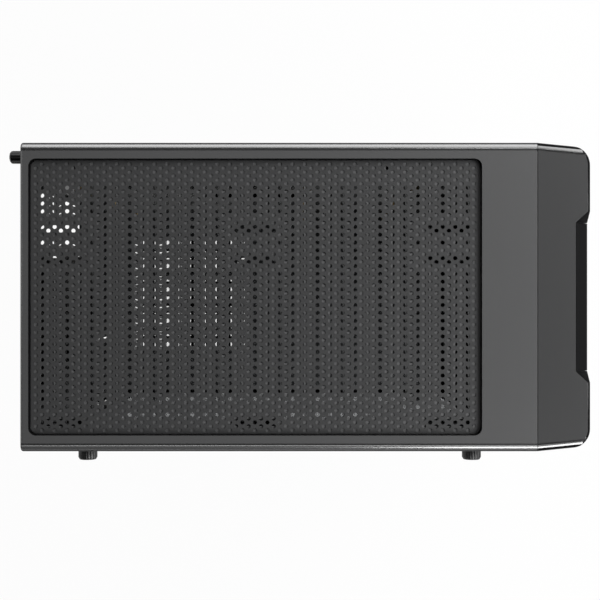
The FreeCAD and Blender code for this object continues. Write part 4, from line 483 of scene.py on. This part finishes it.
roof_spots = []
for column in ROOF_COLUMNS:
    rows = list(ROOF_ROWS)
    if abs(column) > ROOF_END_COLUMNS:
        rows.append(ROOF_END_ROW)
    if column in ROOF_EDGE_COLUMNS:
        rows.append(ROOF_EDGE_ROW)
    roof_spots += [(x_mid + row * ROOF_PITCH + ROOF_SHIFT[0],
                    y_window + column * ROOF_PITCH + ROOF_SHIFT[1], 0) for row in rows]
roof_spots = [spot for spot in roof_spots if not beside_slot(spot)]
roof_spots += [(x_mid + CABLE_HOLE_OFFSET, cover_high.y - place, 0) for place in CABLE_HOLE_PLACES]
roof_steel = skinned("roof_steel", (0.08, 0.0805, 0.082, 1), 0.5, grain=1700.0, depth=0.2)
punched = {"Hole Radius": ROOF_HOLE, "Hole Sides": ROOF_HOLE_SIDES, "Material": roof_steel}
roof = grow("roof_sheet", roof_spots + slot_spots, sheet, {
    "Width": roof_high.x - roof_low.x, "Length": roof_high.y - roof_low.y, "Corner": ROOF_CORNER,
    "Thickness": ROOF_GAUGE, "Slot Width": FAN_DISH[0], "Slot Length": FAN_DISH[1],
    "Middle": ((roof_low.x + roof_high.x) / 2, (roof_low.y + roof_high.y) / 2, 0),
    "Place": (0, 0, roof_high.z), **punched,
}, {"slot": [False] * len(roof_spots) + [True] * len(slot_spots)})
for number, spot in enumerate(slot_spots):
    join_to(roof, grow(f"slot_dish_{number}", [spot], sheet, {
        "Width": FAN_DISH[0], "Length": FAN_DISH[1], "Corner": FAN_DISH_ROUND * FAN_DISH[0],
        "Thickness": ROOF_GAUGE - FAN_DISH_DEPTH, "Slot Width": FAN_SLOT[0],
        "Slot Length": FAN_SLOT[1], "Middle": spot,
        "Place": (0, 0, roof_high.z - FAN_DISH_DEPTH), **punched,
    }, {"slot": [True]}))
rail_top = roof_high.z - ROOF_GAUGE
for left in (roof_low.x, roof_high.x - ROOF_GAUGE):
    add_block(roof, (left, roof_low.y, roof_low.z),
              (left + ROOF_GAUGE, roof_high.y - RAIL_END, rail_top))
lip_under = roof_high.z - LIP_DROP
add_block(roof, (roof_low.x + ROOF_GAUGE, roof_low.y + LIP_FRONT, lip_under),
          (roof_low.x + LIP_WIDTH, fan_low.y - LIP_FAN_GAP, lip_under + ROOF_GAUGE))
paint(roof.data, roof_steel)
settle(roof, "chassis", "chassis_steel", "roof_panel")

# Top cover: pressed steel lid over the roof with rounded shoulders and a groove inside each.
# Satin dark grey paint. A darker paint on the steep flanks is painted shade, and black on the
# faces round the window is a painted shadow in the gap.
# It is clipped to the roof.
COAT_IOR = 2.8
COAT_FADE = (0.28, 0.52)
# The tilt past which steep faces take a darker paint as painted shade, and the reach round the
# window whose faces are painted black as painted shadow.
SHADE_FLANK_TILT = 0.6
WINDOW_SHADOW_REACH = 4 * MM
COVER_PAINTED_SHADE, COVER_PAINTED_SHADOW = 1, 2


def carried(tree, value, source, target):
    """A value carried from one range to another and held at its ends."""
    return step(tree, "ShaderNodeMapRange", {
        "Value": value, "From Min": source[0], "From Max": source[1],
        "To Min": target[0], "To Max": target[1]})["Result"]


def lacquered(name, colour, roughness, specular, coat):
    """A satin paint under a clear lacquer whose gloss dies away where it is seen edge on."""
    material = skinned(name, colour, roughness, grain=1500.0, depth=0.06, drift=0.04,
                       specular=specular)
    tree = material.node_tree
    shader = tree.nodes["Principled BSDF"]
    edge_on = step(tree, "ShaderNodeLayerWeight", {"Blend": 0.5})["Facing"]
    gloss = carried(tree, edge_on, COAT_FADE, (coat, 0.0))
    tree.links.new(gloss, shader.inputs["Coat Weight"])
    shader.inputs["Coat Roughness"].default_value = roughness
    shader.inputs["Coat IOR"].default_value = COAT_IOR
    return material


cover_paint = lacquered("cover_paint", (0.084, 0.0844, 0.0855, 1), roughness=0.23, specular=0.1,
                        coat=1.0)
# Painted shade: a darker paint on the cover's steep flanks, where less light falls.
shade_painted_flank = skinned("shade_painted_flank", (0.022, 0.0221, 0.0226, 1), 0.4, grain=1500.0, depth=0.1,
                      drift=0.06, specular=0.03)
# Painted shadow: near-black, almost glossless paint on the opening's edge faces, standing in for
# the shadowed gap round the filter.
window_rim_painted_shadow = skinned("window_rim_painted_shadow", (0.003, 0.003, 0.0032, 1), 0.5, grain=1500.0, depth=0.1,
                    specular=0.03)
cover = smoothed("cover_smooth", "top_cover", cover_paint, shade_painted_flank, window_rim_painted_shadow, level=True)
# Faces round the window get the painted shadow, and other steep faces get the painted shade.
for face in cover.data.polygons:
    across = max(filter_low.x - face.center.x, face.center.x - filter_high.x)
    along = max(filter_low.y - face.center.y, face.center.y - filter_high.y)
    if face.normal.z < LEVEL and max(across, along) < WINDOW_SHADOW_REACH:
        face.material_index = COVER_PAINTED_SHADOW
    elif face.normal.z < SHADE_FLANK_TILT:
        face.material_index = COVER_PAINTED_SHADE
settle(cover, "chassis", "outer_steel", "top_cover")

# Top filter: thin magnetic sheet lying in the cover's opening, punched with staggered round holes.
# Black plastic-bonded magnet sheet with a satin face; it lifts straight off.
FILTER_PITCH = (5.018 * MM, 8.03 * MM)
FILTER_SHIFT = (-0.13 * MM, 0.26 * MM)
FILTER_HOLE = 1.375 * MM
FILTER_HOLE_SIDES = 14
FILTER_CORNER = 3.9 * MM
FILTER_HALF = 17
FILTER_STAGGER = 0.5


def filter_rows(rows, columns, stagger):
    """Places of holes in even rows and columns, moved on by a share of the pitch."""
    x = x_mid + FILTER_SHIFT[0]
    y = y_window + FILTER_SHIFT[1]
    return [(x + (row + stagger) * FILTER_PITCH[0], y + (column + stagger) * FILTER_PITCH[1], 0)
            for row in rows for column in columns]


full_rows = range(-FILTER_HALF, FILTER_HALF + 1)
filter_spots = filter_rows(full_rows, full_rows, 0)
filter_spots += filter_rows(range(-FILTER_HALF, FILTER_HALF),
                            range(-FILTER_HALF - 1, FILTER_HALF + 1), FILTER_STAGGER)
filter_face = skinned("filter_face", (0.039, 0.0393, 0.04, 1), 0.5, grain=1900.0, depth=0.2,
                      drift=0.05, specular=0.3)
dust_filter = grow("dust_filter", filter_spots, sheet, {
    "Width": filter_high.x - filter_low.x, "Length": filter_high.y - filter_low.y,
    "Corner": FILTER_CORNER, "Thickness": filter_high.z - filter_low.z,
    "Hole Radius": FILTER_HOLE, "Hole Sides": FILTER_HOLE_SIDES,
    "Slot Width": FAN_SLOT[0], "Slot Length": FAN_SLOT[1], "Middle": (x_mid, y_window, 0),
    "Place": (0, 0, filter_high.z), "Material": filter_face,
}, {"slot": [False] * len(filter_spots)})
settle(dust_filter, "top_filter", "filter_sheet", "top_filter")

# Glass side: tempered pane with a grey tint, hung on four knurled knobs screwed into the rails.
# A black border is printed round the edge of its inner face.
GLASS_TINT = (0.62, 0.63, 0.64, 1)
GLASS_IOR = 1.35
BORDER_WIDTH = 17 * MM
BORDER_THICK = 0.06 * MM
KNOB_RADIUS = 6.2 * MM
KNOB_SHANK = 2 * MM
KNOB_SIDES = 52
KNOB_FOOT = 0.94 * KNOB_RADIUS
KNOB_FOOT_RISE = 0.4 * MM
KNOB_BEVEL = 1.5 * MM
KNOB_CROWN = 0.86 * KNOB_RADIUS
KNOB_DISH = (0.62 * KNOB_RADIUS, 0.56 * KNOB_RADIUS)
KNOB_DISH_DEPTH = 0.5 * MM
KNURL_DEPTH = 0.35 * MM


def mix_in(material, share, other):
    """Show another shader in place of a material's own, by a share."""
    tree = material.node_tree
    own = tree.nodes["Principled BSDF"].outputs["BSDF"]
    mixed = step(tree, "ShaderNodeMixShader", {0: share, 1: own, 2: other})["Shader"]
    tree.links.new(mixed, tree.nodes["Material Output"].inputs["Surface"])


tinted_glass = skinned("tinted_glass", GLASS_TINT, 0.03, grain=300.0, depth=0.0, drift=0.1)
tree = tinted_glass.node_tree
shader = tree.nodes["Principled BSDF"]
shader.inputs["Transmission Weight"].default_value = 1.0
shader.inputs["IOR"].default_value = GLASS_IOR
clear = step(tree, "ShaderNodeBsdfTransparent", {"Color": GLASS_TINT})["BSDF"]
mix_in(tinted_glass, step(tree, "ShaderNodeLightPath")["Is Shadow Ray"], clear)
dress(tinted_glass, "glass_panel")

pane_low, pane_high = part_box("glass_panel")
border = in_scene("glass_border", bpy.data.meshes.new("glass_border"))
printed_black = skinned("printed_black", (0.008, 0.008, 0.0085, 1), 0.35, grain=900.0, depth=0.05)
paint(border.data, printed_black)
face_in, border_in = pane_high.x, pane_high.x + BORDER_THICK
inner_low, inner_high = pane_low.z + BORDER_WIDTH, pane_high.z - BORDER_WIDTH
for bottom, top_edge in ((pane_low.z, inner_low), (inner_high, pane_high.z)):
    add_block(border, (face_in, pane_low.y, bottom), (border_in, pane_high.y, top_edge))
for front, back in ((pane_low.y, pane_low.y + BORDER_WIDTH),
                    (pane_high.y - BORDER_WIDTH, pane_high.y)):
    add_block(border, (face_in, front, inner_low), (border_in, back, inner_high))
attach(border, "glass_side")

black_steel = skinned("black_screw_steel", (0.012, 0.012, 0.0125, 1), 0.35, grain=1100.0,
                      depth=0.1, drift=0.2)
knob_low, knob_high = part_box("glass_screws")
knob_height = pane_low.x - knob_low.x
knob_rings = [
    (KNOB_SHANK, pane_low.x - knob_high.x, False), (KNOB_SHANK, 0, False), (KNOB_FOOT, 0, False),
    (KNOB_RADIUS, KNOB_FOOT_RISE, True), (KNOB_RADIUS, knob_height - KNOB_BEVEL, True),
    (KNOB_CROWN, knob_height, False), (KNOB_DISH[0], knob_height, False),
    (KNOB_DISH[1], knob_height - KNOB_DISH_DEPTH, False)]
knobs = place_all(
    "glass_knobs", turned("glass_knob", knob_rings, KNOB_SIDES, KNURL_DEPTH),
    [(pane_low.x, y, z) for y in (knob_low.y + KNOB_RADIUS, knob_high.y - KNOB_RADIUS)
     for z in (knob_low.z + KNOB_RADIUS, knob_high.z - KNOB_RADIUS)],
    (0, -math.pi / 2, 0), black_steel)
settle(knobs, "glass_side", "black_screws", "glass_screws")

# Steel side: folded sheet panel in the cover's paint, hooked into the rails and slid forward.
# Two knurled thumb screws with domed ends hold it to the rear wall.
THUMB_RADIUS = 4.25 * MM
THUMB_SHANK = 1.75 * MM
THUMB_SIDES = 28
THUMB_DOME = 2 * MM
THUMB_DOME_RINGS = ((0.93, 1.2 * MM), (0.72, 0.4 * MM), (0.4, 0))

settle(smoothed("side_panel_smooth", "side_panel", cover_paint),
       "steel_side", "outer_steel", "side_panel")
thumb_low, thumb_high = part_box("side_screws")
thumb_seat = cover_high.y
thumb_height = thumb_high.y - thumb_seat
thumb_rings = [
    (THUMB_SHANK, thumb_low.y - thumb_seat, False), (THUMB_SHANK, 0, False),
    (THUMB_RADIUS, 0, True), (THUMB_RADIUS, thumb_height - THUMB_DOME, True)]
thumb_rings += [(share * THUMB_RADIUS, thumb_height - below, False)
                for share, below in THUMB_DOME_RINGS]
thumb_screws = place_all(
    "thumb_screws", turned("thumb_screw", thumb_rings, THUMB_SIDES, KNURL_DEPTH),
    [((thumb_low.x + thumb_high.x) / 2, thumb_seat, z)
     for z in (thumb_low.z + THUMB_RADIUS, thumb_high.z - THUMB_RADIUS)],
    (-math.pi / 2, 0, 0), black_steel)
settle(thumb_screws, "steel_side", "black_screws", "side_screws")

# Power supply filter: moulded frame with a pull at the back, sliding in two rails under the floor.
# Woven nylon threads are stretched across it.
THREAD = 0.16 * MM
THREAD_PITCH = 1.15 * MM
THREAD_LIFT = THREAD / 3

black_plastic = skinned("black_plastic", (0.018, 0.018, 0.0185, 1), 0.5, grain=1300.0, depth=0.25,
                        drift=0.1)
nylon = skinned("nylon_thread", (0.02, 0.02, 0.021, 1), 0.55, grain=1500.0, depth=0.05)
dress(black_plastic, "filter_rails", "psu_filter_frame")

# Threads both ways: a long thread at each point, across where it is marked as weft.
weave, given, made = node_group("woven_mesh", "GeometryNodeTree", {
    "Points": "Geometry", "Width": "Float", "Length": "Float", "Thread": "Float",
    "Place": "Vector", "Turn": "Vector", "Material": "Material",
}, {"Geometry": "Geometry"})
is_weft, is_warp = marked(weave, "weft")
threads = []
for chosen, width, length in ((is_weft, given["Width"], given["Thread"]),
                              (is_warp, given["Thread"], given["Length"])):
    size = step(weave, "ShaderNodeCombineXYZ",
                {"X": width, "Y": length, "Z": given["Thread"]})["Vector"]
    thread = step(weave, "GeometryNodeMeshCube", {"Size": size})["Mesh"]
    threads.append(at_points(weave, given["Points"], thread, Selection=chosen))
cloth = step(weave, "GeometryNodeJoinGeometry", {"Geometry": threads})["Geometry"]
cloth = step(weave, "GeometryNodeTransform", {
    "Geometry": cloth, "Translation": given["Place"], "Rotation": given["Turn"]})["Geometry"]
finish_tree(weave, cloth, given, made)


def evenly(length):
    """Places along a length, one thread pitch apart and about its middle."""
    count = int(length / THREAD_PITCH)
    return [(number - (count - 1) / 2) * THREAD_PITCH for number in range(count)]


def woven(name, width, length, place, turn):
    """A flat woven cloth about a place."""
    warps = [(x, 0, -THREAD_LIFT) for x in evenly(width)]
    wefts = [(0, y, THREAD_LIFT) for y in evenly(length)]
    return grow(name, warps + wefts, weave, {
        "Width": width, "Length": length, "Thread": THREAD, "Place": place, "Turn": turn,
        "Material": nylon,
    }, {"weft": [False] * len(warps) + [True] * len(wefts)})


cloth_low, cloth_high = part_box("psu_filter_mesh")
psu_cloth = woven("psu_filter_cloth", cloth_high.x - cloth_low.x, cloth_high.y - cloth_low.y,
                  (cloth_low + cloth_high) / 2, (0, 0, 0))
settle(psu_cloth, "psu_filter", "filter_mesh", "psu_filter_mesh")

# Front panel: moulded shell, satin grey on top and gloss black on its face. Its steep flanks carry
# a darker paint as painted shade, and the upper part of its front rounding a duller, darker black
# as painted shade.
# It snaps into the front wall on moulded clips and carries the grille and controls.
FACE_TILT = -0.05
# Material slots: gloss black face, darker flank paint as painted shade, and a duller black on the
# front rounding as painted shade.
BEZEL_FACE, BEZEL_PAINTED_SHADE, BEZEL_RIM_SHADE = 1, 2, 3

bezel_satin = lacquered("bezel_satin", (0.047, 0.0473, 0.0481, 1), roughness=0.21, specular=0.1,
                        coat=0.85)
bezel_gloss = skinned("bezel_gloss", (0.014, 0.0141, 0.0145, 1), 0.3, grain=1500.0, depth=0.06,
                      drift=0.05, specular=0.4)
# The black front band running over the rounding, made darker and nearly glossless compared with
# the face as painted shade.
bezel_rim_painted_shade = skinned("bezel_rim_painted_shade", (0.004, 0.004, 0.0043, 1), 0.5, grain=1500.0, depth=0.06,
                    drift=0.04, specular=0.02)
# Painted shade: a darker paint on the shell's steep flanks.
bezel_shade_painted_flank = skinned("bezel_shade_painted_flank", (0.03, 0.0302, 0.0307, 1), 0.36, grain=1500.0, depth=0.08,
                      drift=0.05, specular=0.06)
bezel = smoothed("bezel_smooth", "front_bezel", bezel_satin, bezel_gloss, bezel_shade_painted_flank, bezel_rim_painted_shade,
                 level=True)
# Faces turned forward take the gloss black. Where they also face up, on the front rounding, they
# take the painted shade black. Other steep faces take the darker flank paint as painted shade.
for face in bezel.data.polygons:
    if face.normal.y < FACE_TILT:
        face.material_index = BEZEL_RIM_SHADE if face.normal.z > -FACE_TILT else BEZEL_FACE
    elif face.normal.z < SHADE_FLANK_TILT:
        face.material_index = BEZEL_PAINTED_SHADE
settle(bezel, "front_panel", "bezel_plastic", "front_bezel")
dress(bezel_gloss, "control_plate")
dress(black_plastic, "front_clips", "front_filter_frame")

# Front grille: punched steel sheet let into the shell, with a slope rising to the top edge.
# Gloss black paint; a woven filter in a moulded frame sits behind it.
grille_paint = skinned("grille_paint", (0.004, 0.004, 0.0043, 1), 0.38, grain=1200.0, depth=0.08,
                       specular=0.06)
dress(grille_paint, "front_grille")
cloth_low, cloth_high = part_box("front_filter_mesh")
front_cloth = woven("front_filter_cloth", cloth_high.x - cloth_low.x, cloth_high.z - cloth_low.z,
                    (cloth_low + cloth_high) / 2, (math.pi / 2, 0, 0))
settle(front_cloth, "front_panel", "filter_mesh", "front_filter_mesh")

# Front controls: a circuit board screwed inside the shell, with switches, ports, jacks and lights.
# Moulded buttons, folded port shells, moulded tongues and clear acrylic lenses show in the plate.
button_plastic = skinned("button_plastic", (0.03, 0.03, 0.031, 1), 0.38, grain=1400.0, depth=0.12)
board_green = skinned("board_green", (0.012, 0.07, 0.035, 1), 0.35, grain=600.0, depth=0.15,
                      drift=0.5)
port_steel = skinned("port_steel", (0.62, 0.62, 0.63, 1), 0.25, grain=800.0, depth=0.08, drift=0.2,
                     metallic=1.0)
tongue_blue = skinned("tongue_blue", (0.02, 0.12, 0.5, 1), 0.45, grain=1200.0, depth=0.1)
lens_clear = skinned("lens_clear", (0.75, 0.76, 0.78, 1), 0.2, grain=700.0, depth=0.05)
for button in ("power_button", "reset_button"):
    settle(smoothed(button + "_smooth", button, button_plastic), button, "button_plastic", button)
dress(board_green, "io_board")
dress(port_steel, "usb_port_1", "usb_port_2")
dress(tongue_blue, "usb_tongue_1", "usb_tongue_2")
dress(lens_clear, "power_lens", "drive_lens")
dress(black_plastic, "audio_jack_1", "audio_jack_2", "power_switch", "reset_switch")

# Feet: four moulded plastic blocks pressed into the floor, each with a rubber pad beneath.
# Black plastic with a matt mould texture.
settle(smoothed("feet_smooth", "feet", black_plastic), "chassis", "black_plastic", "feet")

# Stage: white floor and surroundings, soft lamps, and a camera looking straight down on the case.
# The floor and the sky look white from the camera. Reflections show them too, with the sky
# darker overhead and towards the glass side, and they light the case only softly.
FLOOR_REACH = 6.0
FLOOR_DROP = -0.2 * MM
FLOOR_GREY = (0.8, 0.8, 0.8, 1)
FLOOR_ROUGHNESS = 0.9
FLOOR_GLOW = 0.96
WHITE = (1, 1, 1, 1)
SKY_ON_CASE = 0.25
OVERHEAD_FADE = (0.25, 0.7)
OVERHEAD_SHARE = 0.03
GLASS_SIDE_FADE = (-0.6, 0.3)
GLASS_SIDE_SHARE = 0.04
CAMERA_PLACE = (1.9 * MM, -2.0 * MM, 1.215)
CAMERA_LENS = 71.4
CAMERA_SENSOR = 36

floor = in_scene("floor", bpy.data.meshes.new("floor"))
floor.data.from_pydata([(-FLOOR_REACH, -FLOOR_REACH, 0), (FLOOR_REACH, -FLOOR_REACH, 0),
                        (FLOOR_REACH, FLOOR_REACH, 0), (-FLOOR_REACH, FLOOR_REACH, 0)], [],
                       [(0, 1, 2, 3)])
floor.location.z = FLOOR_DROP


def seen_directly(tree):
    """1 for rays that show the background: from the camera, in gloss and through glass."""
    path = step(tree, "ShaderNodeLightPath")
    seen = reckon(tree, "MAXIMUM", path["Is Camera Ray"], path["Is Glossy Ray"])
    return reckon(tree, "MAXIMUM", seen, path["Is Transmission Ray"])


floor_white, shader = blank_material("floor_white")
tree = floor_white.node_tree
shader.inputs["Base Color"].default_value = FLOOR_GREY
shader.inputs["Roughness"].default_value = FLOOR_ROUGHNESS
glow = step(tree, "ShaderNodeEmission", {"Color": WHITE, "Strength": 1.0})["Emission"]
mix_in(floor_white, reckon(tree, "MULTIPLY", seen_directly(tree), FLOOR_GLOW), glow)
paint(floor.data, floor_white)

world = bpy.data.worlds.new("studio")
bpy.context.scene.world = world
world.use_nodes = True
tree = world.node_tree
sky = tree.nodes["Background"]
sky.inputs["Color"].default_value = WHITE
direction = step(tree, "ShaderNodeTexCoord")["Generated"]
toward = step(tree, "ShaderNodeSeparateXYZ", {"Vector": direction})
overhead = carried(tree, toward["Z"], OVERHEAD_FADE, (1.0, OVERHEAD_SHARE))
sideways = carried(tree, toward["X"], GLASS_SIDE_FADE, (GLASS_SIDE_SHARE, 1.0))
strength = carried(tree, seen_directly(tree), (0.0, 1.0), (SKY_ON_CASE, 1.0))
strength = reckon(tree, "MULTIPLY", strength, overhead)
strength = reckon(tree, "MULTIPLY", strength, sideways)
from_camera = step(tree, "ShaderNodeLightPath")["Is Camera Ray"]
strength = reckon(tree, "MAXIMUM", strength, from_camera)
tree.links.new(strength, sky.inputs["Strength"])


def lamp(name, place, target, size, power):
    """A soft rectangular lamp that faces a point."""
    light = bpy.data.lights.new(name, "AREA")
    light.shape = "RECTANGLE"
    light.size, light.size_y = size
    light.energy = power
    holder = in_scene(name, light)
    holder.location = place
    aim = Vector(target) - Vector(place)
    holder.rotation_euler = aim.to_track_quat("-Z", "Y").to_euler()
    holder.visible_camera = False


lamp("front_lamp", place=(0, -0.95, 1.2), target=(x_mid, -0.15, cover_high.z),
     size=(2.4, 0.6), power=18)
lamp("steel_side_lamp", place=(0.95, -0.4, 1.15), target=(x_mid, 0, cover_high.z),
     size=(2.4, 1.2), power=16)
lamp("glass_side_lamp", place=(-0.66, -0.42, 1.04), target=(cover_low.x, -0.17, cover_high.z),
     size=(0.5, 0.4), power=4.2)

camera = bpy.data.cameras.new("camera")
camera.lens = CAMERA_LENS
camera.sensor_width = CAMERA_SENSOR
viewer = in_scene("camera", camera)
viewer.location = CAMERA_PLACE
viewer.rotation_euler = (0, 0, -math.pi / 2)
bpy.context.scene.camera = viewer
bpy.context.scene.view_settings.view_transform = "Standard"
